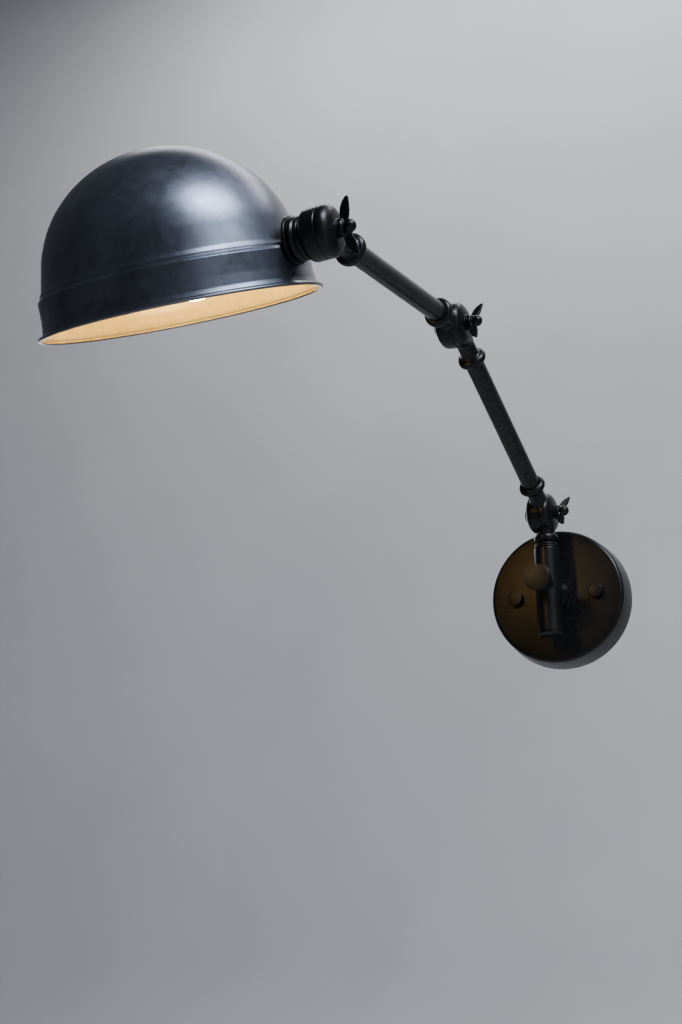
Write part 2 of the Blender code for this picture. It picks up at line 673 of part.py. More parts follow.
def make_shade():
    shade = turned("shade", shade_profile(), SHADE_STEEL, SHADE_FRAME, "+Z", segments=FINE)
    shell = shade.modifiers.new("wall", "SOLIDIFY")
    shell.thickness = SHADE_WALL
    shell.offset = -1.0
    hole = disc(HOLDER_NIPPLE_RADIUS + GAP, HOLDER_LENGTH + 0.020, HOLDER_LENGTH - 0.010)
    cut(shade, turned("shade_side_hole", hole, None, SHADE_HINGE, "-X", segments=SMALL))
    seat = HOLDER_LENGTH + SHADE_WALL + 0.0024
    hexagon("shade_nut", 0.018, 0.003, HOLDER_NIPPLE_RADIUS + GAP, ZINC, SHADE_HINGE, "-X",
            (-seat, 0, 0))


def make_lamp():
    """A screw lampholder on the holder's nipple, and a round bulb lying under the dome."""
    back = HOLDER_LENGTH + 0.0075 + GAP
    cap = [(HOLDER_BORE, back), (HOLDER_BORE, back + 0.0022), (LAMP_RADIUS - 0.0015, back + 0.0060)]
    cap += [(LAMP_RADIUS - 0.0015, back + 0.020), (LAMP_RADIUS, back + 0.020)]
    cap += [(LAMP_RADIUS, back + 0.0060), (LAMP_RADIUS - 0.006, back)]
    turned("lampholder_cap", cap, BLACK_RESIN, SHADE_HINGE, "-X", segments=SMALL, closed=True)
    front = back + 0.020 + GAP
    skirt = [(LAMP_RADIUS, front), (LAMP_RADIUS - 0.002, front), (LAMP_RADIUS - 0.002, front + 0.022)]
    skirt += [(LAMP_RADIUS - 0.0004, front + 0.022), (LAMP_RADIUS, front + 0.020)]
    turned("lampholder_skirt", skirt, BLACK_RESIN, SHADE_HINGE, "-X", segments=SMALL, closed=True)
    disc_at = back + 0.0115
    contact = [(0, disc_at + 0.0030), (0.0030, disc_at + 0.0022), (0.0030, disc_at + 0.0016)]
    contact += [(0.0150, disc_at + 0.0016), (0.0150, disc_at), (0, disc_at)]
    turned("lampholder_contact", contact, BRASS, SHADE_HINGE, "-X", segments=SMALL)
    cap_at = disc_at + 0.0032
    bulb_cap = [(0, cap_at + 0.0255), (0.0128, cap_at + 0.0255), (0.0131, cap_at + 0.0240)]
    for i in range(3):
        crest = cap_at + 0.0190 - 0.0054 * i
        bulb_cap += [(0.0131, crest + 0.0009), (0.0124, crest - 0.0009)]
    bulb_cap += [(0.0100, cap_at + 0.0018), (0.0050, cap_at), (0, cap_at)]
    turned("bulb_cap", bulb_cap, NICKEL, SHADE_HINGE, "-X", segments=SMALL)
    glass_at = cap_at + 0.0255 + GAP
    centre = glass_at + 0.0270
    glass = arc((0, centre), BULB_RADIUS, 90, -52, 10)
    glass[0] = (0, centre + BULB_RADIUS)
    glass += [(0.0128, glass_at + 0.0050), (0.0126, glass_at), (0, glass_at)]
    turned("bulb_glass", glass, OPAL_GLASS, SHADE_HINGE, "-X", segments=SMALL)


# --- Build -----------------------------------------------------------------------
clear_scene()
PARTS = new_collection("swing_arm_wall_sconce")
CUTTERS = new_collection("cutters")

SATIN_BLACK = new_material("satin_black", (0.012, 0.012, 0.013), 0.6, 0.42)
SHADE_STEEL = new_material("shade_steel", (0.075, 0.082, 0.10), 0.85, 0.36)
DARK_STEEL = new_material("dark_steel", (0.03, 0.03, 0.032), 0.8, 0.4)
ZINC = new_material("zinc_steel", (0.55, 0.56, 0.58), 0.9, 0.35)
BRASS = new_material("brass", (0.62, 0.43, 0.16), 1.0, 0.3)
NICKEL = new_material("nickel", (0.66, 0.64, 0.60), 1.0, 0.25)
BLACK_RESIN = new_material("black_resin", (0.015, 0.015, 0.015), 0.0, 0.5)
WHITE_NYLON = new_material("white_nylon", (0.8, 0.8, 0.78), 0.0, 0.5)
OPAL_GLASS = new_material("opal_glass", (0.95, 0.9, 0.8), 0.0, 0.3)
FLEX_BLACK = new_material("flex_black", (0.01, 0.01, 0.01), 0.0, 0.6)

SWIVEL = new_empty("swivel_axis", None, (0, -POST_OUT, 0), (0, 0, SWIVEL_TURN))
KNOB_FRAME = new_empty("lock_knob_axis", None, (0, -POST_OUT, KNOB_Z))
STEM_TOP = new_empty("hinge_1_axis", SWIVEL, (0, 0, HINGE_1_Z))
LOWER_ARM = new_empty("lower_arm_axis", STEM_TOP, (0, 0, 0), (-LOWER_RISE, 0, 0))
LOWER_END = new_empty("lower_arm_end", LOWER_ARM, (0, -ARM_LENGTH, 0))
UPPER_ARM = new_empty("upper_arm_axis", LOWER_END, (0, 0, 0), (LOWER_RISE - UPPER_RISE, 0, 0))
UPPER_END = new_empty("upper_arm_end", UPPER_ARM, (0, -ARM_LENGTH, 0))
SHADE_HINGE = new_empty("shade_axis", UPPER_END, (0, 0, 0), (UPPER_RISE + SHADE_TILT, 0, 0))
SHADE_FRAME = new_empty("dome_centre", SHADE_HINGE, (-DOME_RADIUS - HOLDER_LENGTH, 0, 0))

make_canopy()
make_crossbar()
make_fixings()
make_terminal_block()
make_post_socket()
make_swivel_bearing()
make_lock_knob()
make_stem()
make_arm("lower", LOWER_ARM, LOWER_END)
make_arm("upper", UPPER_ARM, UPPER_END)
make_shade_holder()
make_shade()
make_lamp()

BOLT_HEAD_AT = LEFT_WIDTH + BOSS_RISE + GAP
HOLDER_HEAD_AT = CAVITY_DEPTH + 0.003 + GAP
KNUCKLES = (
    ("1", LOWER_ARM, STEM_TOP, 0.0, BOLT_HEAD_AT),
    ("2", UPPER_ARM, LOWER_END, -LOWER_RISE, BOLT_HEAD_AT),
    ("3", SHADE_HINGE, UPPER_END, -UPPER_RISE, HOLDER_HEAD_AT),
)
for (number, left_frame, right_frame, turn, head_at), lean in zip(KNUCKLES, WING_LEANS):
    make_bolt("bolt_" + number, left_frame, head_at)
    make_washer("washer_" + number, right_frame)
    nut_frame = new_empty("wing_nut_axis_" + number, right_frame, (0, 0, 0), (lean - turn, 0, 0))
    make_wing_nut("wing_nut_" + number, nut_frame)
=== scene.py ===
"""Looks of a swing arm wall sconce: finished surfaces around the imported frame.

Turned pieces are revolved from rounded outlines. Cast pieces, whose forms run into
each other with fillets, are signed distance fields made into meshes.
World frame: the wall is y = 0, the room is at -Y and +Z is up. Lengths are in metres.
"""

import json
import math

import bmesh
import bpy
import numpy as np
from mathutils import Matrix, Vector


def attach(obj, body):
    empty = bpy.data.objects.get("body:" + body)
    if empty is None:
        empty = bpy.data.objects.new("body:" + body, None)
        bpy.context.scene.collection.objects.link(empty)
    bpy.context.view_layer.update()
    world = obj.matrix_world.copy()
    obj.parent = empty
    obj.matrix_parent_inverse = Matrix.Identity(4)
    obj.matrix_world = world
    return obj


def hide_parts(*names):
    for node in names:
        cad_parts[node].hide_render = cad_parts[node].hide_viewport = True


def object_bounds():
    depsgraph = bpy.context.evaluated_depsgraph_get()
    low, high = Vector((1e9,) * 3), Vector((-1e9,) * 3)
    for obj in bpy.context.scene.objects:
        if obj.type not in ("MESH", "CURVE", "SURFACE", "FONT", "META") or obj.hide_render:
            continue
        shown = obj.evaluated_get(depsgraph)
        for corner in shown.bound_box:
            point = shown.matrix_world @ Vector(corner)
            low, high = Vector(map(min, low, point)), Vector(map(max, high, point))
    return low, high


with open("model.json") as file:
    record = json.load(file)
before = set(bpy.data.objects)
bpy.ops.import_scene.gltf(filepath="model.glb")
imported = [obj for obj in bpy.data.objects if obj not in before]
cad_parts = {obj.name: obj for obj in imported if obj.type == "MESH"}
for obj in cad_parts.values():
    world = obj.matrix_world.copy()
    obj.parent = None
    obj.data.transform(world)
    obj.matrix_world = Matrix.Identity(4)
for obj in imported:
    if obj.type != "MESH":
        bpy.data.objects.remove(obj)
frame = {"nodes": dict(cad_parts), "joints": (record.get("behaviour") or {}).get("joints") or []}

CAD_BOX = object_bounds()
MM = 0.001
FINE = 128
ROUND = 72
SMALL = 48
SHADE_SEGMENTS = 192
ON_AXIS = 1e-6
FAR = 1e9
LAMP_GLOW = 36.0

# --- Places, from the frame's joints ----------------------------------------------
JOINTS = {joint["name"]: joint for joint in frame["joints"]}


def joint_at(name):
    return Vector(JOINTS[name]["pos_m"])


SWIVEL_AT = joint_at("arm_swivel")
KNOB_AT = joint_at("swivel_lock_turn")
HINGE_1 = joint_at("lower_arm_lift")
HINGE_2 = joint_at("upper_arm_lift")
HINGE_3 = joint_at("shade_tilt")
RIGHT = -Vector(JOINTS["lower_arm_lift"]["axis"]).normalized()
UP = Vector((0, 0, 1))
OUT = Vector((0, -1, 0))
SHADE_TILT = math.radians(25.2)
SHADE_OUT = (RIGHT.cross(UP)).normalized()
SHADE_AXIS = (UP * math.cos(SHADE_TILT) + SHADE_OUT * math.sin(SHADE_TILT)).normalized()
WING_LEANS = (-36.0, -23.0, 26.0)

# --- Sizes, the same as the frame's, in millimetres ---------------------------------
# The canopy's depths count from the wall, the sleeve's heights from the swivel's joint,
# and a knuckle's widths, collars and necks from its hinge.
GAP = 0.3
CANOPY_RADIUS = 60.0
CANOPY_RIM_RADIUS = 62.0
CANOPY_DEPTH = 27.0
CANOPY_WALL = 1.8
CANOPY_ROUNDING = 3.5
BAR_LENGTH, BAR_THICK, BAR_HEIGHT = 98.0, 2.5, 18.0
STUD_X = 36.5
STUD_RADIUS = 2.0
SLOT_X, SLOT_LENGTH, SLOT_RADIUS = 22.0, 12.0, 2.4
CAP_NUT_RADIUS = 6.2
CAP_NUT_HEIGHT = 5.2
SOCKET_WASHER_RADIUS, SOCKET_WASHER_THICK = 9.5, 1.0
SOCKET_NUT_ACROSS, SOCKET_NUT_HEIGHT = 14.0, 4.0
POST_OUT = 50.0
SLEEVE_RADIUS = 11.2
SLEEVE_BORE = 9.3
SLEEVE_TOP = 36.8
SLEEVE_BOTTOM = -38.5
BOSS_RADIUS = 8.5
NIPPLE_RADIUS = 5.0
KNOB_RADIUS = 11.6
KNOB_THICK = 6.0
KNOB_FACE = 36.3
DRUM_RADIUS = 17.8
DRUM_BOSS = 6.6
BOSS_RISE = 0.3
RIGHT_WIDTH = 10.0
LEFT_WIDTH = 14.0
RIGHT_FULLNESS = 0.85
LEFT_FULLNESS = 0.55
NECK_RADIUS = 7.4
COLLAR_CENTRE = 35.2
COLLAR_RADIUS = 11.8
COLLAR_ROUND = 4.0
SOCKET_DEPTH = 7.9
PIN_SOCKET_RADIUS = 7.8
STEM_LENGTH = (HINGE_1.z - SWIVEL_AT.z) / MM - SLEEVE_TOP - GAP
TUBE_RADIUS = 7.9
TUBE_START = 31.5
WASHER_RADIUS = 6.2
WASHER_THICK = 1.0
BOLT_RADIUS = 3.0
BOLT_WAY = 3.3
BOLT_HEAD_RADIUS, BOLT_HEAD_HEIGHT = 6.8, 2.8
BALL_RADIUS = 4.5
BALL_HEIGHT = 5.8
NUT_BASE = RIGHT_WIDTH + BOSS_RISE + GAP + WASHER_THICK + GAP
MOUTH_RADIUS = 100.0
DOME_RADIUS = 90.0
DOME_HEIGHT = 85.0
DOME_BASE = 30.0
DOME_SWEEP = 80.5
BAND_RADIUS = 95.0
SHADE_WALL = 1.2
LIP_RADIUS = 1.15
HOLDER_LENGTH = 29.9
HOLDER_FLANGE_RADIUS = 16.8
HOLDER_FLANGE_BACK = 5.4
CAVITY_DEPTH = 6.5
HOLDER_WEB = 3.0
HOLDER_NIPPLE_RADIUS = 6.2
HOLDER_NIPPLE_LENGTH = 7.5
SHADE_NUT_ACROSS, SHADE_NUT_HEIGHT = 18.0, 3.0
SHADE_NUT_STANDOFF = 2.4
LAMP_RADIUS = 19.0
LAMPHOLDER_CAP_LENGTH = 20.0
CONTACT_AT, CONTACT_HEIGHT = 11.5, 3.2
SCREW_CAP_HEIGHT = 25.5
BULB_RADIUS = 22.5
DOME_CENTRE = HINGE_3 - RIGHT * (DOME_RADIUS + HOLDER_LENGTH) * MM


# --- Outlines -----------------------------------------------------------------------
def rounded(corners, steps=5):
    """An outline of (radius, height) points from corners of (radius, height, fillet)."""
    points = []
    for i, (r, h, fillet) in enumerate(corners):
        here = np.array((r, h), float)
        if not fillet or i in (0, len(corners) - 1):
            points.append((r, h))
            continue
        back = np.array(corners[i - 1][:2], float) - here
        ahead = np.array(corners[i + 1][:2], float) - here
        run_back, run_ahead = np.linalg.norm(back), np.linalg.norm(ahead)
        back, ahead = back / run_back, ahead / run_ahead
        half = math.acos(float(np.clip(back @ ahead, -1, 1))) / 2
        if half > math.radians(88):
            points.append((r, h))
            continue
        reach = min(fillet / math.tan(half), 0.49 * run_back, 0.49 * run_ahead)
        radius = reach * math.tan(half)
        middle = (back + ahead) / np.linalg.norm(back + ahead)
        centre = here + middle * radius / math.sin(half)
        first = here + back * reach - centre
        last = here + ahead * reach - centre
        turn = math.atan2(first[0] * last[1] - first[1] * last[0], float(first @ last))
        for k in range(steps + 1):
            angle = turn * k / steps
            c, s = math.cos(angle), math.sin(angle)
            points.append((centre[0] + c * first[0] - s * first[1],
                           centre[1] + s * first[0] + c * first[1]))
    return points


def arc(centre, radius, start, end, count):
    """Points of an arc, by angle in degrees from the +radius direction."""
    return [(centre[0] + radius * math.cos(math.radians(start + (end - start) * i / count)),
             centre[1] + radius * math.sin(math.radians(start + (end - start) * i / count)))
            for i in range(count + 1)]


def closed_loop(corners):
    """A closed outline whose first and last corners are rounded like the others."""
    return rounded(corners[-1:] + corners + corners[:1])[1:-1]


# --- Meshes -------------------------------------------------------------------------
def frame_matrix(at, axis, side=None):
    """A frame at a point, whose +Z is an axis, and whose +X lies near a side direction."""
    z = Vector(axis).normalized()
    x = Vector(side if side is not None else (RIGHT if abs(z.dot(RIGHT)) < 0.9 else UP))
    x = (x - z * x.dot(z)).normalized()
    y = z.cross(x)
    matrix = Matrix((x, y, z)).transposed().to_4x4()
    matrix.translation = at
    return matrix


def revolved(outline, segments, closed=False):
    """A bmesh in millimetres, turned about Z from (radius, height) points."""
    mesh = bmesh.new()
    turns = [2 * math.pi * k / segments for k in range(segments)]
    rings = []
    for r, h in outline:
        if r < ON_AXIS:
            rings.append([mesh.verts.new((0, 0, h))])
            continue
        rings.append([mesh.verts.new((r * math.cos(t), r * math.sin(t), h)) for t in turns])
    pairs = list(zip(rings, rings[1:]))
    if closed:
        pairs.append((rings[-1], rings[0]))
    for a, b in pairs:
        for k in range(segments):
            n = (k + 1) % segments
            # A ring of one point, on the axis, gives triangles.
            corners = [a[k % len(a)], a[n % len(a)], b[n % len(b)], b[k % len(b)]]
            corners = list(dict.fromkeys(corners))
            if len(corners) > 2:
                mesh.faces.new(corners)
    bmesh.ops.recalc_face_normals(mesh, faces=mesh.faces)
    return mesh


def as_object(name, mesh, matrix, sharp_angle=40.0):
    """A mesh object in the world frame, from a bmesh in millimetres in a local frame."""
    data = bpy.data.meshes.new(name)
    mesh.to_mesh(data)
    mesh.free()
    data.transform(matrix @ Matrix.Scale(MM, 4))
    data.shade_smooth()
    data.set_sharp_from_angle(angle=math.radians(sharp_angle))
    obj = bpy.data.objects.new(name, data)
    bpy.context.scene.collection.objects.link(obj)
    return obj


def piece(obj, body, material, nodes):
    """Give a piece its material, its body and the nodes that it stands for."""
    if material is not None:
        obj.data.materials.append(material)
    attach(obj, body)
    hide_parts(*nodes)


def turned(name, outline, at, axis, body, material, nodes, segments=SMALL,
           closed=False):
    """A piece revolved about an axis through a point; a closed outline leaves a bore."""
    mesh = revolved(outline, segments, closed)
    piece(as_object(name, mesh, frame_matrix(at, axis)), body, material, nodes)


# --- Signed distance fields, in millimetres -------------------------------------------
def outline_distance(outline):
    """Distance to a closed outline in the (radius, height) plane, below zero inside."""
    points = np.array(outline, float)
    ends = np.roll(points, -1, axis=0)

    def distance(r, h):
        best = np.full(r.shape, FAR)
        inside = np.zeros(r.shape, bool)
        for (r0, h0), (r1, h1) in zip(points, ends):
            if h1 != h0:
                at = (r1 - r0) * (h - h0) / (h1 - h0) + r0
                inside ^= ((h0 > h) != (h1 > h)) & (r < at)
            if r0 < ON_AXIS and r1 < ON_AXIS:
                # The stretch on the axis closes the outline but isn't a surface.
                continue
            dr, dh = r1 - r0, h1 - h0
            t = np.clip(((r - r0) * dr + (h - h0) * dh) / (dr * dr + dh * dh + 1e-12), 0, 1)
            best = np.minimum(best, np.hypot(r - r0 - t * dr, h - h0 - t * dh))
        return np.where(inside, -best, best)

    return distance


def lathe_field(outline, axis):
    """A turned solid whose heights run along +X or -Y of a local frame."""
    distance = outline_distance(outline)
    along, sign = {"+X": (0, 1), "-Y": (1, -1)}[axis]
    first, second = [k for k in range(3) if k != along]

    def field(p):
        return distance(np.hypot(p[:, first], p[:, second]), p[:, along] * sign)

    return field


def blend_union(a, b, width):
    """The union of two fields, with a fillet of about that width."""
    h = np.clip(0.5 + 0.5 * (b - a) / width, 0, 1)
    return b + (a - b) * h - width * h * (1 - h)


def blend_cut(a, b, width):
    """Field a without field b, its new edge rounded by about that width."""
    return -blend_union(-a, b, width)


def net(field, low, high, cell):
    """A surface net of a field's zero level, drawn onto the true surface."""
    # Each cell that the surface crosses gets one point, the mean of its edges' crossings.
    axes = [np.arange(l, h + cell, cell) for l, h in zip(low, high)]
    shape = tuple(len(axis) for axis in axes)
    grid = np.stack(np.meshgrid(*axes, indexing="ij"), -1).reshape(-1, 3)
    values = np.concatenate([field(part) for part in np.array_split(grid, 12)]).reshape(shape)
    inside = values < 0
    total = np.zeros([n - 1 for n in shape] + [3])
    count = np.zeros([n - 1 for n in shape])
    corner = np.stack(np.meshgrid(*[axis[:-1] for axis in axes], indexing="ij"), -1)
    for d in range(3):
        near = [slice(None)] * 3
        far = [slice(None)] * 3
        near[d], far[d] = slice(0, -1), slice(1, None)
        v0, v1 = values[tuple(near)], values[tuple(far)]
        cross = inside[tuple(near)] != inside[tuple(far)]
        t = np.where(cross, v0 / np.where(cross, v0 - v1, 1), 0)
        e, f = [k for k in range(3) if k != d]
        for de in (0, 1):
            for df in (0, 1):
                part = [slice(None)] * 3
                part[e] = slice(de, shape[e] - 1 + de)
                part[f] = slice(df, shape[f] - 1 + df)
                hit = cross[tuple(part)]
                place = corner + 0.0
                place[..., d] += t[tuple(part)] * cell
                place[..., e] += de * cell
                place[..., f] += df * cell
                total += place * hit[..., None]
                count += hit
    used = count > 0
    index = np.full(used.shape, -1)
    index[used] = np.arange(used.sum())
    points = total[used] / count[used][:, None]
    # Each grid edge that the surface crosses gets one quad, between its four cells.
    quads = []
    for d in range(3):
        near = [slice(None)] * 3
        far = [slice(None)] * 3
        near[d], far[d] = slice(0, -1), slice(1, None)
        a, b = inside[tuple(near)], inside[tuple(far)]
        e, f = (d + 1) % 3, (d + 2) % 3
        where = np.argwhere(a != b)
        keep = (where[:, e] > 0) & (where[:, f] > 0)
        keep &= (where[:, e] < shape[e] - 1) & (where[:, f] < shape[f] - 1)
        where = where[keep]
        steps = []
        for de, df in ((-1, -1), (0, -1), (0, 0), (-1, 0)):
            cell_at = where.copy()
            cell_at[:, e] += de
            cell_at[:, f] += df
            steps.append(index[tuple(cell_at.T)])
        quad = np.stack(steps, 1)
        outward = a[tuple(where.T)]
        quad[~outward] = quad[~outward][:, ::-1]
        quads.append(quad)
    for _ in range(4):
        points = onto_surface(field, points, cell)
    mesh = bmesh.new()
    verts = [mesh.verts.new(p) for p in points]
    for quad in np.concatenate(quads):
        mesh.faces.new([verts[k] for k in quad])
    return mesh


def onto_surface(field, points, cell):
    """Move points onto a field's zero level, along its slope."""
    value = field(points)
    slope = np.zeros_like(points)
    step = 0.02
    for d in range(3):
        offset = np.zeros(3)
        offset[d] = step
        slope[:, d] = (field(points + offset) - field(points - offset)) / (2 * step)
    size = np.maximum((slope ** 2).sum(1), 0.25)
    move = -value[:, None] * slope / size[:, None]
    return points + np.clip(move, -cell / 2, cell / 2)


# --- Materials ------------------------------------------------------------------------
class Surface:
    """A material, with short calls for its nodes."""

    def __init__(self, name, metallic, roughness):
        self.material = bpy.data.materials.new(name)
        self.material.use_nodes = True
        self.tree = self.material.node_tree
        self.shader = self.tree.nodes["Principled BSDF"]
        self.shader.inputs["Metallic"].default_value = metallic
        self.shader.inputs["Roughness"].default_value = roughness
        self.where = self.tree.nodes.new("ShaderNodeTexCoord").outputs["Object"]

    def node(self, kind, **settings):
        node = self.tree.nodes.new("ShaderNode" + kind)
        for key, value in settings.items():
            setattr(node, key, value)
        return node

    def link(self, source, target):
        self.tree.links.new(source, target)

    def set(self, **values):
        for key, value in values.items():
            self.shader.inputs[key.replace("_", " ")].default_value = value

    def noise(self, scale, detail=4.0, rough=0.55, where=None, distortion=0.0):
        node = self.node("TexNoise")
        node.inputs["Scale"].default_value = scale
        node.inputs["Detail"].default_value = detail
        node.inputs["Roughness"].default_value = rough
        node.inputs["Distortion"].default_value = distortion
        self.link(where or self.where, node.inputs["Vector"])
        return node.outputs["Fac"]

    def stretched(self, scale):
        """Object coordinates scaled by a different amount each way."""
        node = self.node("Mapping")
        node.inputs["Scale"].default_value = scale
        self.link(self.where, node.inputs["Vector"])
        return node.outputs["Vector"]

    def ramp(self, source, stops):
        """A colour ramp of (place, colour) stops."""
        node = self.node("ValToRGB")
        elements = node.color_ramp.elements
        while len(elements) < len(stops):
            elements.new(0.5)
        for element, (at, colour) in zip(elements, stops):
            element.position = at
            element.color = (*colour, 1.0)
        self.link(source, node.inputs["Fac"])
        return node.outputs["Color"]

    def spread(self, source, low, high, from_low=0.3, from_high=0.7):
        """Map a value's usual span to another."""
        node = self.node("MapRange")
        for key, value in zip(("From Min", "From Max", "To Min", "To Max"),
                              (from_low, from_high, low, high)):
            node.inputs[key].default_value = value
        self.link(source, node.inputs["Value"])
        return node.outputs["Result"]

    def mix(self, factor, a, b):
        """Mix two colours, each a socket or a value."""
        node = self.node("Mix", data_type="RGBA", blend_type="MIX")
        sockets = [s for s in node.inputs if s.type == "RGBA"]
        for socket, value in zip(sockets, (a, b)):
            if isinstance(value, tuple):
                socket.default_value = (*value, 1.0)
            else:
                self.link(value, socket)
        self.link(factor, node.inputs["Factor"])
        return [s for s in node.outputs if s.type == "RGBA"][0]

    def math(self, how, a, b):
        """A sum or product of two values, each a socket or a number."""
        node = self.node("Math", operation=how)
        for socket, value in zip(node.inputs, (a, b)):
            if isinstance(value, (int, float)):
                socket.default_value = value
            else:
                self.link(value, socket)
        return node.outputs["Value"]

    def edges(self, low, high):
        """How convex the surface is, from none to full."""
        return self.spread(self.node("NewGeometry").outputs["Pointiness"], 0.0, 1.0, low, high)

    def colour(self, source):
        self.link(source, self.shader.inputs["Base Color"])

    def roughness(self, source):
        self.link(source, self.shader.inputs["Roughness"])

    def bump(self, source, height, strength):
        """Add a bump, on top of those that the surface already has."""
        node = self.node("Bump")
        node.inputs["Strength"].default_value = strength
        node.inputs["Distance"].default_value = height
        self.link(source, node.inputs["Height"])
        previous = self.shader.inputs["Normal"].links
        if previous:
            self.link(previous[0].from_socket, node.inputs["Normal"])
        self.link(node.outputs["Normal"], self.shader.inputs["Normal"])


def satin_black():
    """Black powder coat: a fine skin, faint mottling and a little wear on the edges."""
    s = Surface("satin_black", 0.0, 0.36)
    mottle = s.noise(38.0, 5.0)
    base = s.ramp(mottle, [(0.3, (0.0024, 0.0025, 0.0028)), (0.7, (0.0048, 0.0049, 0.0054))])
    worn = s.math("MULTIPLY", s.edges(0.53, 0.66), s.spread(s.noise(420.0, 6.0), 0, 1, 0.45, 0.7))
    s.colour(s.mix(worn, base, (0.030, 0.031, 0.034)))
    dust = s.noise(150.0, 6.0, 0.65)
    s.roughness(s.spread(s.math("ADD", s.math("MULTIPLY", mottle, 0.5),
                                s.math("MULTIPLY", dust, 0.5)), 0.25, 0.40))
    s.bump(s.noise(1500.0, 2.0, 0.5), 0.00004, 0.5)
    s.bump(s.noise(260.0, 3.0, 0.5), 0.00008, 0.35)
    s.set(Specular_IOR_Level=0.22)
    return s.material


def shade_steel():
    """Dark lacquered steel, spun: clouded blue grey patina, faint rings and scuffs."""
    s = Surface("shade_gunmetal", 0.92, 0.34)
    cloud = s.noise(9.0, 6.0, 0.6, distortion=0.6)
    base = s.ramp(cloud, [(0.30, (0.070, 0.075, 0.092)), (0.50, (0.112, 0.122, 0.152)),
                          (0.72, (0.160, 0.176, 0.222))])
    stain = s.noise(46.0, 8.0, 0.7, distortion=1.2)
    base = s.mix(s.spread(stain, 0.0, 0.55, 0.5, 0.74), base, (0.040, 0.038, 0.040))
    speck = s.noise(520.0, 3.0, 0.7)
    base = s.mix(s.spread(speck, 0.0, 0.35, 0.62, 0.75), base, (0.15, 0.155, 0.17))
    worn = s.math("MULTIPLY", s.edges(0.512, 0.56), s.spread(stain, 0.35, 1.0))
    base = s.mix(worn, base, (0.24, 0.25, 0.28))
    s.colour(base)
    fine = s.noise(130.0, 6.0, 0.6)
    blend = s.math("ADD", s.math("MULTIPLY", cloud, 0.6), s.math("MULTIPLY", fine, 0.4))
    s.roughness(s.spread(blend, 0.27, 0.44))
    rings = s.node("TexNoise", noise_dimensions="1D")
    rings.inputs["Scale"].default_value = 900.0
    rings.inputs["Detail"].default_value = 3.0
    s.link(spun_distance(s), rings.inputs["W"])
    s.bump(rings.outputs["Fac"], 0.00002, 0.30)
    s.bump(s.noise(24.0, 3.0, 0.5), 0.0006, 0.16)
    s.bump(s.noise(700.0, 2.0, 0.5), 0.00004, 0.25)
    return s.material


def spun_distance(s):
    """The height along the shade's axis, which is what a spinning tool's marks follow."""
    node = s.node("VectorMath", operation="DOT_PRODUCT")
    node.inputs[1].default_value = SHADE_AXIS
    s.link(s.where, node.inputs[0])
    return node.outputs["Value"]


def enamel_and_painted_glow():
    """The shade's inside: stove enamel with a soft gloss and a few specks, its colour tinted amber
    as painted warm lamplight.
    """
    s = Surface("enamel_and_painted_glow", 0.0, 0.26)
    cloud = s.noise(22.0, 5.0, 0.6)
    # These amber stops are cream enamel with painted warm lamplight mixed into its colour.
    base = s.ramp(cloud, [(0.3, (0.66, 0.50, 0.17)), (0.7, (0.76, 0.60, 0.23))])
    speck = s.spread(s.noise(360.0, 4.0, 0.7), 0.0, 0.5, 0.64, 0.74)
    s.colour(s.mix(speck, base, (0.55, 0.42, 0.26)))
    s.roughness(s.spread(s.noise(90.0, 5.0), 0.20, 0.34))
    s.bump(s.noise(240.0, 3.0, 0.5), 0.00012, 0.3)
    return s.material


def plated(name, low, high, roughness):
    """A plated or turned metal, with soft clouding, fine scratches and dull patches."""
    s = Surface(name, 1.0, roughness)
    cloud = s.noise(70.0, 6.0, 0.6)
    scratch = s.noise(60.0, 4.0, 0.6, s.stretched((1.0, 14.0, 3.0)))
    both = s.math("ADD", s.math("MULTIPLY", cloud, 0.6), s.math("MULTIPLY", scratch, 0.4))
    s.colour(s.ramp(both, [(0.3, low), (0.7, high)]))
    s.roughness(s.spread(both, roughness - 0.08, roughness + 0.14))
    s.bump(scratch, 0.00005, 0.3)
    return s.material


def moulded(name, low, high, roughness):
    """A moulded plastic, resin or rubber: faint flow marks and a fine grain."""
    s = Surface(name, 0.0, roughness)
    flow = s.noise(60.0, 5.0, 0.6)
    s.colour(s.ramp(flow, [(0.3, low), (0.7, high)]))
    s.roughness(s.spread(flow, roughness - 0.07, roughness + 0.10))
    s.bump(s.noise(900.0, 2.0), 0.00005, 0.4)
    return s.material


def opal_glass():
    """A lit opal lamp: a warm, faintly clouded glow with a soft gloss on the glass."""
    s = Surface("opal_glass", 0.0, 0.22)
    cloud = s.noise(70.0, 4.0)
    s.colour(s.ramp(cloud, [(0.3, (0.90, 0.82, 0.66)), (0.7, (0.97, 0.91, 0.78))]))
    glow = s.ramp(cloud, [(0.3, (1.0, 0.66, 0.24)), (0.7, (1.0, 0.72, 0.29))])
    s.link(glow, s.shader.inputs["Emission Color"])
    s.set(Emission_Strength=LAMP_GLOW)
    return s.material


SATIN_BLACK = satin_black()
SHADE_STEEL = shade_steel()
ENAMEL_AND_PAINTED_GLOW = enamel_and_painted_glow()
DARK_STEEL = plated("dark_steel", (0.018, 0.018, 0.019), (0.04, 0.04, 0.043), 0.36)
ZINC = plated("zinc_plate", (0.42, 0.43, 0.44), (0.60, 0.60, 0.62), 0.36)
BRASS = plated("turned_brass", (0.46, 0.31, 0.11), (0.66, 0.47, 0.20), 0.30)
NICKEL = plated("nickel_cap", (0.50, 0.48, 0.44), (0.70, 0.67, 0.62), 0.28)
RESIN = moulded("black_resin", (0.010, 0.009, 0.009), (0.022, 0.020, 0.019), 0.42)
NYLON = moulded("white_nylon", (0.66, 0.65, 0.61), (0.80, 0.79, 0.75), 0.48)
RUBBER = moulded("flex_sheath", (0.008, 0.008, 0.008), (0.018, 0.018, 0.018), 0.55)
GLASS = opal_glass()


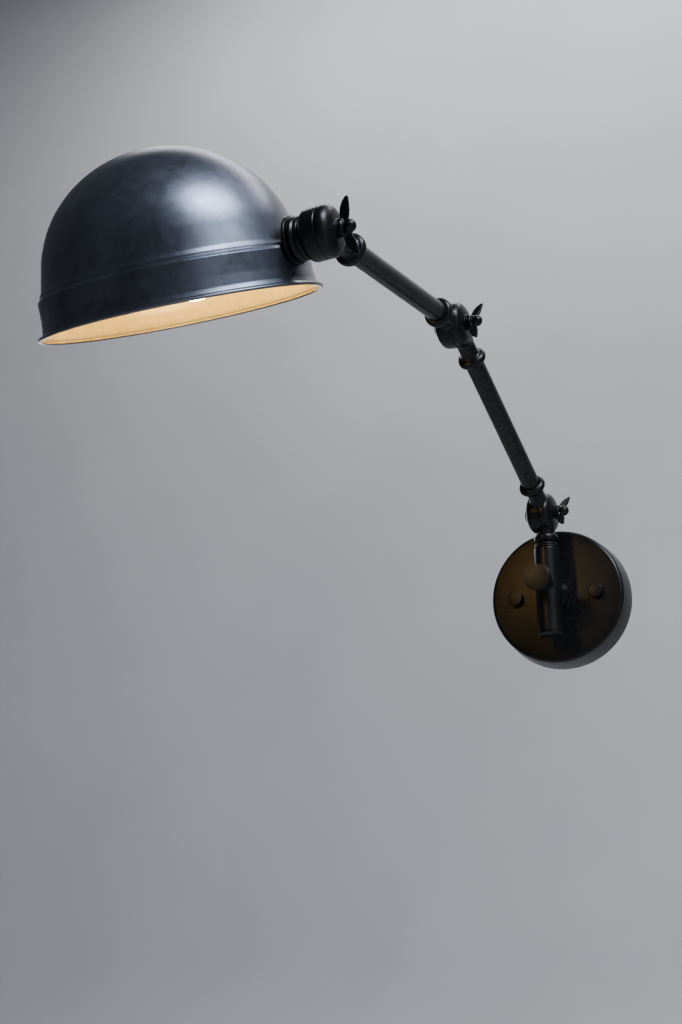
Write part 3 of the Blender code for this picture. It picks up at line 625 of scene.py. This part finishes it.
# --- Canopy and what it holds -----------------------------------------------------------
def make_canopy():
    """A spun dish, open to the wall, its side flared and its face bored for the post."""
    hole = NIPPLE_RADIUS + GAP
    inside = CANOPY_DEPTH - CANOPY_WALL
    outer = [(hole, CANOPY_DEPTH, 0.0), (CANOPY_RADIUS, CANOPY_DEPTH, CANOPY_ROUNDING),
             (CANOPY_RIM_RADIUS, 0.0, 0.5), (CANOPY_RIM_RADIUS - CANOPY_WALL, 0.0, 0.5),
             (CANOPY_RADIUS - CANOPY_WALL, inside, 2.2), (hole, inside, 0.0)]
    turned("canopy_shell", rounded(outer, steps=8), (0, 0, 0), OUT, "wall_mount",
           SATIN_BLACK, ["canopy"], FINE, closed=True)


def make_crossbar():
    """A pressed strap with two screw slots, its edges eased."""
    curve = bpy.data.curves.new("crossbar_outline", "CURVE")
    curve.dimensions = "2D"
    curve.fill_mode = "BOTH"
    ease = 0.25
    curve.extrude = BAR_THICK / 2 - ease
    curve.bevel_depth = ease
    curve.bevel_resolution = 3
    corner = 3.0
    w, h = BAR_LENGTH / 2 - ease, BAR_HEIGHT / 2 - ease
    outer = []
    for sx, sy, start in ((1, 1, 0), (-1, 1, 90), (-1, -1, 180), (1, -1, 270)):
        centre = (sx * (w - corner), sy * (h - corner))
        outer += arc(centre, corner, start, start + 90, 8)
    loops = [outer]
    for side in (-1, 1):
        slot = []
        for end, start in ((1, -90), (-1, 90)):
            centre = (side * SLOT_X + end * (SLOT_LENGTH / 2 - SLOT_RADIUS), 0.0)
            slot += arc(centre, SLOT_RADIUS + ease, start, start + 180, 12)
        loops.append(slot)
    for points in loops:
        spline = curve.splines.new("POLY")
        spline.points.add(len(points) - 1)
        for knot, (x, y) in zip(spline.points, points):
            knot.co = (x, y, 0.0, 1.0)
        spline.use_cyclic_u = True
    obj = bpy.data.objects.new("crossbar_source", curve)
    bpy.context.scene.collection.objects.link(obj)
    graph = bpy.context.evaluated_depsgraph_get()
    data = bpy.data.meshes.new_from_object(obj.evaluated_get(graph))
    bpy.data.objects.remove(obj, do_unlink=True)
    mesh = bmesh.new()
    mesh.from_mesh(data)
    bmesh.ops.remove_doubles(mesh, verts=mesh.verts, dist=0.001)
    bmesh.ops.recalc_face_normals(mesh, faces=mesh.faces)
    middle = OUT * BAR_THICK / 2 * MM
    strap = as_object("crossbar_strap", mesh, frame_matrix(middle, OUT, (1, 0, 0)))
    piece(strap, "wall_mount", ZINC, ["crossbar"])


def threaded(radius, low, high, pitch):
    """An outline's stretch of thread, as close rings, from its high end to its low one."""
    points = []
    root = radius - 0.55 * pitch
    turns = int((high - low) / pitch)
    for i in range(turns):
        top = high - i * pitch
        points += [(radius, top - 0.15 * pitch), (radius, top - 0.35 * pitch),
                   (root, top - 0.70 * pitch), (root, top - 0.85 * pitch)]
    return points


def make_fixings():
    """The two studs and the flat round nuts that hold the canopy on them."""
    for side, word in ((-1, "left"), (1, "right")):
        at = Vector((side * STUD_X * MM, 0, 0))
        tip = CANOPY_DEPTH + CAP_NUT_HEIGHT - 2.0
        stud = [(0, tip), (STUD_RADIUS - 0.4, tip)]
        stud += threaded(STUD_RADIUS, low=0.8, high=tip - 0.3, pitch=0.7)
        stud += [(STUD_RADIUS - 0.4, GAP), (0, GAP)]
        turned("threaded_stud_" + word, stud, at, OUT, "wall_mount", ZINC,
               ["stud_" + word])
        top = CAP_NUT_HEIGHT
        nut = [(0, top, 0), (CAP_NUT_RADIUS, top, 0.8), (CAP_NUT_RADIUS, 0.9, 0.3),
               (CAP_NUT_RADIUS - 0.5, 0.0, 0.2), (STUD_RADIUS + GAP, 0.0, 0.2),
               (STUD_RADIUS + GAP, top - 1.5, 0.0), (0, top - 1.5, 0.0)]
        turned("cap_nut_head_" + word, rounded(nut), at + OUT * (CANOPY_DEPTH + GAP) * MM, OUT,
               "wall_mount", SATIN_BLACK, ["cap_nut_" + word])


def make_socket_hold():
    """The washer and nut that hold the post's nipple behind the canopy's face."""
    hole = NIPPLE_RADIUS + GAP
    top = CANOPY_DEPTH - CANOPY_WALL - GAP
    foot = top - SOCKET_WASHER_THICK
    ring = [(SOCKET_WASHER_RADIUS, top, 0.2), (SOCKET_WASHER_RADIUS, foot, 0.2),
            (hole, foot, 0.2), (hole, top, 0.2)]
    turned("socket_ring_washer", closed_loop(ring), (0, 0, 0), OUT, "wall_mount",
           ZINC, ["socket_washer"], closed=True)
    hexagon_nut("socket_hex_nut", SOCKET_NUT_ACROSS, foot - GAP - SOCKET_NUT_HEIGHT,
                SOCKET_NUT_HEIGHT, hole, (0, 0, 0), OUT, "wall_mount", ["socket_nut"])


def hexagon_nut(name, across, base, height, hole, at, axis, body, nodes):
    """A hexagon nut with a round chamfer on both faces and a bore."""
    top = base + height
    bore = lathe_field([(0, top + 2), (hole, top + 2), (hole, base - 2), (0, base - 2)], "+X")
    corner = across / math.sqrt(3)
    body_field = lathe_field([(0, top), (corner - 0.9, top), (corner, top - 0.5),
                              (corner, base + 0.5), (corner - 0.9, base), (0, base)], "+X")

    def field(p):
        sides = np.full(len(p), -FAR)
        for k in range(3):
            angle = math.radians(60 * k)
            d = np.abs(p[:, 1] * math.cos(angle) + p[:, 2] * math.sin(angle)) - across / 2
            sides = np.maximum(sides, d)
        return blend_cut(np.maximum(sides, body_field(p)), bore(p), width=0.1)

    reach = corner + 0.6
    mesh = net(field, (base - 0.6, -reach, -reach), (top + 0.6, reach, reach), cell=0.3)
    # The field's +X lies along the nut's axis, which is +Z of the frame's matrix.
    side = frame_matrix(at, axis)
    local = Matrix((side.col[2].xyz, side.col[0].xyz, side.col[1].xyz)).transposed().to_4x4()
    local.translation = at
    nut = as_object(name, mesh, local, sharp_angle=35.0)
    piece(nut, body, ZINC, nodes)


# --- Post and lock knob -------------------------------------------------------------------
def face_depth(out):
    """A place along the boss, given how far it is in front of the canopy's face."""
    return -POST_OUT + CANOPY_DEPTH + GAP + out


def make_post():
    """The cast post: an upright sleeve, a boss and nipple behind it and a pad in front."""
    sleeve = rounded([(0, SLEEVE_TOP, 0), (SLEEVE_RADIUS, SLEEVE_TOP, 0.8),
                      (SLEEVE_RADIUS, SLEEVE_BOTTOM, 0.8), (0, SLEEVE_BOTTOM, 0)])
    bore = [(0, SLEEVE_TOP + 3), (SLEEVE_BORE, SLEEVE_TOP + 3), (SLEEVE_BORE, SLEEVE_BOTTOM - 3),
            (0, SLEEVE_BOTTOM - 3)]
    foot, flange, nipple_bore, back = BOSS_RADIUS + 4, face_depth(0), 3.4, face_depth(-10.5)
    boss = rounded([(0, -4.0, 0), (BOSS_RADIUS, -4.0, 0), (BOSS_RADIUS, -13.5, 2.5),
                    (foot, face_depth(3.2), 1.2), (foot, flange, 0.3),
                    (NIPPLE_RADIUS, flange, 0), (NIPPLE_RADIUS, back, 0.4),
                    (nipple_bore, back, 0.2), (nipple_bore, face_depth(4), 0),
                    (0, face_depth(4), 0)])
    pad_radius, pad_face = 6.2, SLEEVE_RADIUS + 2.8
    pad = rounded([(0, pad_face, 0), (pad_radius, pad_face, 0.5), (pad_radius, 4.0, 0),
                   (0, 4.0, 0)])
    knob_height = (KNOB_AT.z - SWIVEL_AT.z) / MM
    upright = outline_distance(sleeve)
    hollow = outline_distance(bore)
    stub = outline_distance(boss)
    rise = outline_distance(pad)

    def field(p):
        spoke = np.hypot(p[:, 0], p[:, 1])
        body = upright(spoke, p[:, 2])
        body = blend_union(body, stub(np.hypot(p[:, 0], p[:, 2]), -p[:, 1]), width=1.6)
        at_knob = np.hypot(p[:, 0], p[:, 2] - knob_height)
        body = blend_union(body, rise(at_knob, -p[:, 1]), width=1.2)
        return blend_cut(body, hollow(spoke, p[:, 2]), width=0.2)

    low = (-BOSS_RADIUS - 5, -SLEEVE_RADIUS - 4, SLEEVE_BOTTOM - 1)
    high = (BOSS_RADIUS + 5, -flange + 11.6, SLEEVE_TOP + 1)
    mesh = net(field, low, high, cell=0.55)
    post = as_object("post_sleeve", mesh, Matrix.Translation(SWIVEL_AT), sharp_angle=50.0)
    piece(post, "wall_mount", SATIN_BLACK, ["post_socket"])


def make_post_details():
    """The plug in the sleeve's lower end, and the thumb screw in front of the sleeve."""
    bore = SLEEVE_BORE - GAP
    bottom = SLEEVE_BOTTOM
    plug = [(0, bottom + 4, 0), (bore, bottom + 4, 0.3), (bore, bottom - GAP, 0),
            (SLEEVE_RADIUS, bottom - GAP, 0.2), (SLEEVE_RADIUS, bottom - 2, 1.0),
            (0, bottom - 2, 0)]
    turned("sleeve_end_plug", rounded(plug), SWIVEL_AT, UP, "wall_mount",
           SATIN_BLACK, ["sleeve_plug"], ROUND)
    hub = KNOB_FACE - KNOB_THICK
    shank, tip = 3.0, 7.8
    knob = [(0, KNOB_FACE, 0), (KNOB_RADIUS, KNOB_FACE, 1.0), (KNOB_RADIUS, hub, 1.0),
            (5.6, hub, 0.4), (4.6, hub - 2, 0.8), (4.6, hub - 8, 0.6), (shank, hub - 9.5, 0.4),
            (shank, 8.8, 0.2), (2.0, tip, 0.2), (0, tip, 0)]
    turned("lock_knob_screw", rounded(knob), KNOB_AT, OUT, "lock_knob",
           SATIN_BLACK, ["swivel_lock_knob"], ROUND)


# --- Knuckles -------------------------------------------------------------------------------
def drum_outline(width, fullness):
    """Half of a knuckle: a small flat boss, a domed shoulder and a short straight rim.

    The fullness is the shoulder's power of a sine: one gives an ellipse, less a squarer one.
    """
    shoulder = DRUM_RADIUS - DRUM_BOSS
    straight = 1.8
    top = width + BOSS_RISE
    rise = width - straight - BOSS_RISE
    points = [(0, top), (DRUM_BOSS - 0.4, top)]
    for i in range(17):
        angle = math.radians(90 * i / 16)
        out = max(math.sin(angle), 0.0) ** fullness
        up = max(math.cos(angle), 0.0) ** fullness
        points.append((DRUM_BOSS + shoulder * out, straight + rise * up))
    return points + [(DRUM_RADIUS, -6.0), (0, -6.0)]


def tube_neck():
    """A neck with a round collar, into which an arm's tube goes."""
    end = COLLAR_CENTRE + COLLAR_ROUND
    collar = arc((COLLAR_RADIUS - COLLAR_ROUND, COLLAR_CENTRE), COLLAR_ROUND, 78, -72, 14)
    return ([(0, end), (COLLAR_RADIUS - 3.4, end)] + collar
            + [(NECK_RADIUS + 1.2, COLLAR_CENTRE - COLLAR_ROUND - 0.1),
               (NECK_RADIUS, COLLAR_CENTRE - COLLAR_ROUND - 1.3), (NECK_RADIUS, 19.5),
               (NECK_RADIUS + 0.6, 17.0), (NECK_RADIUS + 1.2, 8.0), (0, 8.0)])


def stem_neck():
    """The stem's turned foot: a waist, an oblate ball and two rings."""
    foot = STEM_LENGTH
    points = [(0, foot), (10.9, foot)] + arc((10.4, foot - 0.8), 0.8, 90, -90, 6)
    points += [(9.4, foot - 2.0)] + arc((9.7, foot - 2.9), 0.9, 80, -80, 6)
    points += [(8.4, foot - 4.4)] + arc((6.0, foot - 9.2), 4.6, 62, -62, 12)
    return points + [(7.2, 19.6), (7.8, 16.0), (8.2, 8.0), (0, 8.0)]


def neck_bore(end, radius):
    """The socket that a tube or pin enters, from the neck's end."""
    bottom = end - SOCKET_DEPTH
    return [(0, end + 3), (radius, end + 3), (radius, bottom), (0, bottom)]


def knuckle_half(name, at, along, side, neck, neck_end, socket, body, nodes):
    """One half of a knuckle with its neck, which lies in the plane the halves share."""
    width, fullness = (RIGHT_WIDTH, RIGHT_FULLNESS) if side > 0 else (LEFT_WIDTH, LEFT_FULLNESS)
    drum = lathe_field(drum_outline(width, fullness), "+X")
    stalk = lathe_field(neck, "-Y")
    bore = lathe_field(neck_bore(neck_end, socket), "-Y")
    # The other half's room: a little wider than its drum, and up to the shared plane.
    room, plane = DRUM_RADIUS + GAP, -GAP / 2
    sweep = lathe_field([(0, 30), (room, 30), (room, plane), (0, plane)], "+X")
    mirror = np.array((-1, 1, 1))

    def field(p):
        q = p * np.array((side, 1, 1))
        solid = blend_union(drum(q), stalk(q), width=1.8)
        solid = blend_cut(solid, sweep(q * mirror), width=0.35)
        return blend_cut(solid, bore(q), width=0.25)

    margin = 0.8
    reach = max(COLLAR_RADIUS, width + 1) + margin
    low = (-COLLAR_RADIUS - margin, -neck_end - margin, -DRUM_RADIUS - margin)
    high = (reach, DRUM_RADIUS + margin, DRUM_RADIUS + margin)
    if side < 0:
        low, high = (-high[0], low[1], low[2]), (-low[0], high[1], high[2])
    half = as_object(name, net(field, low, high, cell=0.5), hinge_matrix(at, along),
                     sharp_angle=50.0)
    piece(half, body, SATIN_BLACK, nodes)


def hinge_matrix(at, along):
    """A hinge's frame: +X along the hinge to the right, -Y along an arm."""
    y = -Vector(along).normalized()
    matrix = Matrix((RIGHT, y, RIGHT.cross(y))).transposed().to_4x4()
    matrix.translation = at
    return matrix


def make_knuckles():
    """The stem's half, the arms' four halves and the two tubes."""
    collar_end = COLLAR_CENTRE + COLLAR_ROUND
    knuckle_half("stem_casting", HINGE_1, -UP, 1, stem_neck(), STEM_LENGTH,
                 PIN_SOCKET_RADIUS, "swivel", ["stem_knuckle"])
    for word, near, far in (("lower", HINGE_1, HINGE_2), ("upper", HINGE_2, HINGE_3)):
        body = word + "_arm"
        along = (far - near).normalized()
        knuckle_half(body + "_base_casting", near, along, -1, tube_neck(), collar_end,
                     TUBE_RADIUS + GAP, body, [body + "_base_knuckle"])
        knuckle_half(body + "_end_casting", far, -along, 1, tube_neck(), collar_end,
                     TUBE_RADIUS + GAP, body, [body + "_end_knuckle"])
        start, stop = TUBE_START, (far - near).length / MM - TUBE_START
        inner = TUBE_RADIUS - 1.2
        tube = [(inner, stop), (TUBE_RADIUS, stop), (TUBE_RADIUS, start), (inner, start)]
        turned(body + "_round_tube", tube, near, along, body, SATIN_BLACK,
               [body + "_tube"], ROUND, closed=True)


def make_bolts():
    """The knuckles' bolts, with a low round head on the left, and their washers."""
    base = RIGHT_WIDTH + BOSS_RISE + GAP
    top = base + WASHER_THICK
    tip = NUT_BASE + BALL_HEIGHT - 1.2
    arm_head = LEFT_WIDTH + BOSS_RISE + GAP
    holder_head = CAVITY_DEPTH + HOLDER_WEB + GAP
    spots = (("1", HINGE_1, "swivel", "lower_arm", arm_head),
             ("2", HINGE_2, "lower_arm", "upper_arm", arm_head),
             ("3", HINGE_3, "upper_arm", "shade_head", holder_head))
    for number, at, right_body, left_body, head in spots:
        ring = [(WASHER_RADIUS, top, 0.25), (WASHER_RADIUS, base, 0.25),
                (BOLT_WAY, base, 0.1), (BOLT_WAY, top, 0.1)]
        turned("plain_washer_" + number, closed_loop(ring), at, RIGHT, right_body,
               DARK_STEEL, ["washer_" + number], closed=True)
        bolt = rounded([(0, tip, 0), (BOLT_RADIUS, tip, 0.5), (BOLT_RADIUS, -head, 0),
                        (BOLT_HEAD_RADIUS, -head, 0.3), (BOLT_HEAD_RADIUS, -head - 1.2, 0.5),
                        (5.6, -head - 2.5, 1.4), (0, -head - BOLT_HEAD_HEIGHT, 0)])
        turned("knuckle_bolt_" + number, bolt, at, RIGHT, left_body, DARK_STEEL,
               ["bolt_" + number], ROUND)


# --- Wing nuts ------------------------------------------------------------------------------
def make_wing_nuts():
    """A turned hub with a ball end, and two thin blades that flare away from the drum."""
    base = NUT_BASE
    ball = base + BALL_HEIGHT
    hub = [(0, ball + BALL_RADIUS)] + arc((0, ball), BALL_RADIUS, 88, -38, 16)
    hub += [(4.6, base + 2.6), (5.6, base + 1.9), (5.8, base + 1.4), (5.8, base + 0.2),
            (5.6, base), (0, base)]
    hub_field = lathe_field(hub, "+X")
    bore = lathe_field([(0, ball - 1.0), (BOLT_WAY, ball - 1.0), (BOLT_WAY, base - 2),
                        (0, base - 2)], "+X")
    # Half of the leaf's outline: distance from the axis, height over the hub's base.
    leaf = [(3.4, 0.5), (9.0, 0.5), (13.0, 1.7), (16.5, 3.9), (18.7, 6.3), (19.4, 7.9),
            (18.6, 8.8), (15.0, 8.6), (10.0, 7.9), (6.5, 6.8), (3.4, 5.4)]
    blade = outline_distance([(r, base + h) for r, h in leaf])
    edge = 0.6

    def field(p):
        reach = np.abs(p[:, 2])
        flat = blade(reach, p[:, 0])
        thick = np.abs(p[:, 1]) - np.interp(reach, (4.0, 19.0), (1.25, 0.75))
        # The leaf's edges are rounded by insetting both distances and adding it back.
        flat, thick = flat + edge, thick + edge
        corner = np.hypot(np.maximum(flat, 0), np.maximum(thick, 0)) - edge
        leaves = corner + np.minimum(np.maximum(flat, thick), 0)
        return blend_cut(blend_union(hub_field(p), leaves, width=1.5), bore(p), width=0.15)

    low, high = (base - 0.6, -6.6, -20.2), (ball + 5.2, 6.6, 20.2)
    net_mesh = net(field, low, high, cell=0.36)
    spots = (("1", "wing_nut_a", HINGE_1), ("2", "wing_nut_b", HINGE_2),
             ("3", "wing_nut_c", HINGE_3))
    for (number, body, at), lean in zip(spots, WING_LEANS):
        # A lean of zero stands the blades upright.
        along = (Matrix.Rotation(math.radians(lean), 3, RIGHT) @ SHADE_OUT).normalized()
        obj = as_object("wing_nut_cast_" + number, net_mesh.copy(), hinge_matrix(at, along),
                        sharp_angle=60.0)
        piece(obj, body, SATIN_BLACK, ["wing_nut_" + number])
    net_mesh.free()


# --- Shade, holder and lamp -------------------------------------------------------------------
def make_holder():
    """The last knuckle's left half: a drum, two beads and the flange on the shade's side."""
    foot = HOLDER_LENGTH - HOLDER_FLANGE_BACK
    tip = HOLDER_LENGTH + HOLDER_NIPPLE_LENGTH
    body = [(0, tip, 0), (HOLDER_NIPPLE_RADIUS, tip, 0.5), (HOLDER_NIPPLE_RADIUS, foot, 0.2),
            (HOLDER_FLANGE_RADIUS, foot, 0.4), (HOLDER_FLANGE_RADIUS, foot - 2.0, 0.8),
            (14.2, foot - 2.7, 0.6)]
    outline = rounded(body)[:-1]
    outline += arc((13.4, foot - 4.7), 2.2, 66, -66, 10)
    outline += arc((13.2, foot - 8.9), 1.7, 62, -50, 8)
    outline += [(13.6, 12.9)] + arc((DRUM_RADIUS - 3.4, 9.2), 3.4, 78, 0, 8)
    outline += [(DRUM_RADIUS, 0.5), (DRUM_RADIUS - 0.3, GAP / 2), (0, GAP / 2)]
    turned("shade_side_holder", outline, HINGE_3, -RIGHT, "shade_head",
           SATIN_BLACK, ["shade_holder"], FINE)


def shade_outline(inset):
    """The shade's outline from its crown to its lip, drawn in by a wall thickness."""
    mouth = -DOME_BASE
    wall, groove, band = DOME_RADIUS - inset, DOME_RADIUS + 3.1 - inset, BAND_RADIUS - inset
    points = []
    count = 40
    for i in range(count + 1):
        angle = math.radians(DOME_SWEEP * i / count)
        points.append(((DOME_RADIUS - inset) * math.sin(angle),
                       (DOME_HEIGHT - inset) * math.cos(angle)))
    # Below the dome: a slight flare to the bead, the groove, the shoulder, the band, the lip.
    corners = [(*points[-1], 0.0), (wall + 0.6, mouth + 36.0, 12.0),
               (wall + 1.5, mouth + 32.0, 8.0), (wall + 2.8, mouth + 29.6, 1.6),
               (groove, mouth + 27.9, 0.8),
               (band - 0.7, mouth + 26.5, 0.7), (band, mouth + 25.6, 0.8),
               (band + 0.2, mouth + 13.0, 20.0), (band + 1.0, mouth + 6.0, 6.0),
               (band + 2.0, mouth + 3.2, 1.5),
               (MOUTH_RADIUS - 0.9 - 0.6 * inset, mouth + 1.5 + 0.4 * inset, 0.0)]
    return points[:-1] + rounded(corners, steps=6)


def make_shade():
    """The spun shade, enamelled inside, and the nut that holds it on the holder."""
    outer = shade_outline(0.0)
    inner = shade_outline(SHADE_WALL)
    mouth = -DOME_BASE
    lip = arc((MOUTH_RADIUS - LIP_RADIUS, mouth + LIP_RADIUS), LIP_RADIUS, 60, -200, 14)
    mesh = revolved(outer[:-1] + lip + inner[::-1], SHADE_SEGMENTS)
    obj = as_object("spun_shade", mesh, frame_matrix(DOME_CENTRE, SHADE_AXIS),
                    sharp_angle=50.0)
    obj.data.materials.append(SHADE_STEEL)
    obj.data.materials.append(ENAMEL_AND_PAINTED_GLOW)
    enamel_from = mouth + 1.2
    for face in obj.data.polygons:
        spot = (face.center - DOME_CENTRE) / MM
        height = spot.dot(SHADE_AXIS)
        spoke = spot - SHADE_AXIS * height
        outward = spoke.normalized() if spoke.length > ON_AXIS else SHADE_AXIS
        facing = face.normal.dot(outward)
        if height > 0:
            facing += face.normal.dot(SHADE_AXIS)
        if facing < 0 and height > enamel_from:
            face.material_index = 1
    piece(obj, "shade_head", None, ["shade"])
    seat = HOLDER_LENGTH + SHADE_WALL + SHADE_NUT_STANDOFF
    hexagon_nut("shade_hex_nut", SHADE_NUT_ACROSS, seat, SHADE_NUT_HEIGHT,
                HOLDER_NIPPLE_RADIUS + GAP, HINGE_3, -RIGHT, "shade_head", ["shade_nut"])


def make_lamp():
    """A screw lampholder on the holder's nipple, and a round opal lamp under the dome."""
    back = HOLDER_LENGTH + HOLDER_NIPPLE_LENGTH + GAP
    r = LAMP_RADIUS
    end = back + LAMPHOLDER_CAP_LENGTH
    cap = [(4.0, back, 0.2), (4.0, back + 2.2, 0.2), (r - 1.5, back + 6.0, 1.5),
           (r - 1.5, end, 0.2), (r, end, 0.2), (r, back + 14, 0.4),
           (r - 0.7, back + 13.2, 0.3), (r - 0.7, back + 12, 0.3), (r, back + 11.2, 0.4),
           (r, back + 5.5, 2.5), (r - 6, back, 1.5)]
    turned("lampholder_dome", closed_loop(cap), HINGE_3, -RIGHT, "shade_head",
           RESIN, ["lampholder_cap"], ROUND, closed=True)
    front = end + GAP
    skirt = [(r, front), (r - 2, front), (r - 2, front + 22)]
    skirt += [(r - 0.6, front + 22), (r, front + 21.4)]
    for i in range(6):
        top = front + 19.5 - 3.0 * i
        skirt += [(r, top), (r - 0.6, top - 0.4), (r - 0.6, top - 1.1), (r, top - 1.5)]
    turned("lampholder_ribbed_skirt", skirt, HINGE_3, -RIGHT, "shade_head",
           RESIN, ["lampholder_skirt"], ROUND, closed=True)
    cap_at = back + CONTACT_AT + CONTACT_HEIGHT
    cap_end = cap_at + SCREW_CAP_HEIGHT
    screw = [(0, cap_end), (12.6, cap_end), (12.9, cap_at + 25.0), (13.0, cap_at + 23.4)]
    for i in range(4):
        crest = cap_at + 20.6 - 3.6 * i
        screw += arc((12.2, crest), 0.9, 80, -80, 6) + [(12.1, crest - 1.8)]
    screw += [(12.2, cap_at + 5.0), (9.0, cap_at + 1.8), (4.8, cap_at + 0.9),
              (4.4, cap_at), (0, cap_at)]
    turned("lamp_screw_cap", screw, HINGE_3, -RIGHT, "shade_head", NICKEL, ["bulb_cap"],
           ROUND)
    glass_at = cap_end + GAP
    centre = glass_at + 27.0
    glass = [(0, centre + BULB_RADIUS)] + arc((0, centre), BULB_RADIUS, 88, -50, 40)
    neck = [(13.2, glass_at + 6.0, 5.0), (12.7, glass_at, 0.5), (0, glass_at, 0)]
    glass += rounded([(*glass[-1], 0)] + neck)[1:]
    turned("lamp_globe", glass, HINGE_3, -RIGHT, "shade_head", GLASS, ["bulb_glass"],
           FINE)


# --- Frame nodes that stay, with finished materials ---------------------------------------------
def finish_frame_nodes():
    """Give the hidden nodes that stay as the CAD made them a finished material."""
    stays = {
        BRASS: ("earth_screw", "swivel_bush", "swivel_pin", "lampholder_contact"),
        DARK_STEEL: ("retaining_clip",),
        NYLON: ("terminal_block",),
        RUBBER: ("canopy_flex", "stem_flex", "lower_arm_flex", "upper_arm_flex"),
    }
    for material, names in stays.items():
        for name in names:
            frame["nodes"][name].material_slots[0].material = material


# --- Floor, backdrop, light and camera -----------------------------------------------------------
FLOOR_Z = -1.25
FLOOR_FRONT = -4.0
BACKDROP_Y = 2.6
BACKDROP_TOP = 4.0
BACKDROP_HALF_WIDTH = 6.0
SWEEP_RADIUS = 0.9
SURROUND_COLOUR = (0.62, 0.66, 0.74, 1.0)
SURROUND_STRENGTH = 0.13
WINDOW_DISTANCE = 1.9
GLINT_NORMAL = (0.70, -0.70, 0.10)
CAMERA_AT = Vector((0.3074, -1.1662, -0.2932))
CAMERA_YAW = 24.44
CAMERA_PITCH = 17.72
CAMERA_ROLL = -0.22
CAMERA_LENS = 47.26


def make_stage():
    """A pale floor that sweeps up into a backdrop, far behind and below the object."""
    section = [(FLOOR_FRONT, FLOOR_Z)]
    for i in range(13):
        angle = math.radians(-90 + 90 * i / 12)
        section.append((BACKDROP_Y - SWEEP_RADIUS + SWEEP_RADIUS * math.cos(angle),
                        FLOOR_Z + SWEEP_RADIUS + SWEEP_RADIUS * math.sin(angle)))
    section.append((BACKDROP_Y, BACKDROP_TOP))
    mesh = bmesh.new()
    sides = (-BACKDROP_HALF_WIDTH, BACKDROP_HALF_WIDTH)
    rows = [[mesh.verts.new((x, y, z)) for x in sides] for y, z in section]
    for (a, b), (c, d) in zip(rows, rows[1:]):
        mesh.faces.new((a, b, d, c))
    data = bpy.data.meshes.new("floor_sweep")
    mesh.to_mesh(data)
    mesh.free()
    data.shade_smooth()
    sweep = bpy.data.objects.new("floor_sweep", data)
    bpy.context.scene.collection.objects.link(sweep)
    plaster = Surface("pale_plaster", 0.0, 0.9)
    tone = plaster.noise(1.6, 4.0)
    plaster.colour(plaster.ramp(tone, [(0.3, (0.60, 0.60, 0.605)), (0.7, (0.66, 0.66, 0.66))]))
    plaster.bump(plaster.noise(30.0, 5.0), 0.001, 0.2)
    data.materials.append(plaster.material)


def area_light(name, at, target, size, power, colour):
    """A rectangular light at a point, turned to a target."""
    light = bpy.data.lights.new(name, "AREA")
    light.shape = "RECTANGLE"
    light.size, light.size_y = size
    light.energy = power
    light.color = colour
    obj = bpy.data.objects.new(name, light)
    bpy.context.scene.collection.objects.link(obj)
    obj.location = at
    obj.rotation_euler = (Vector(target) - Vector(at)).to_track_quat("-Z", "Y").to_euler()


def make_light():
    """A dim surround, a window high on the right, two soft fills and a backdrop wash."""
    world = bpy.data.worlds.new("soft_surround")
    bpy.context.scene.world = world
    world.use_nodes = True
    background = world.node_tree.nodes["Background"]
    background.inputs["Color"].default_value = SURROUND_COLOUR
    background.inputs["Strength"].default_value = SURROUND_STRENGTH
    middle = (CAD_BOX[0] + CAD_BOX[1]) / 2
    # The window lies where the dome's upper right throws its reflection to the camera.
    normal = Vector(GLINT_NORMAL).normalized()
    sight = (DOME_CENTRE + normal * DOME_RADIUS * MM - CAMERA_AT).normalized()
    glint = sight - 2 * sight.dot(normal) * normal
    area_light("window", DOME_CENTRE + glint * WINDOW_DISTANCE, DOME_CENTRE, (0.95, 0.60),
               70.0, (0.80, 0.88, 1.0))
    area_light("low_fill", middle + Vector((1.9, -1.2, -0.2)), middle, (1.4, 1.8), 5.0,
               (0.86, 0.90, 1.0))
    area_light("rear_fill", middle + Vector((-1.6, 1.9, 0.9)), middle, (1.2, 1.2), 16.0,
               (0.95, 0.97, 1.0))
    area_light("backdrop_wash", (0.0, 1.5, 3.3), (0.0, BACKDROP_Y, -0.4), (4.0, 0.8), 80.0,
               (0.96, 0.97, 1.0))


def make_camera():
    """The photo's camera: turned by yaw, then pitched up, then rolled."""
    camera = bpy.data.cameras.new("camera")
    camera.lens = CAMERA_LENS
    camera.clip_start, camera.clip_end = 0.05, 30.0
    obj = bpy.data.objects.new("camera", camera)
    bpy.context.scene.collection.objects.link(obj)
    yaw, pitch, roll = (math.radians(a) for a in (CAMERA_YAW, CAMERA_PITCH, CAMERA_ROLL))
    turn = Matrix.Rotation(yaw, 4, "Z") @ Matrix.Rotation(math.pi / 2 + pitch, 4, "X")
    obj.matrix_world = Matrix.Translation(CAMERA_AT) @ turn @ Matrix.Rotation(roll, 4, "Z")
    bpy.context.scene.camera = obj


make_camera()
make_light()
make_stage()
make_canopy()
make_crossbar()
make_fixings()
make_socket_hold()
make_post()
make_post_details()
make_knuckles()
make_bolts()
make_wing_nuts()
make_holder()
make_shade()
make_lamp()
finish_frame_nodes()
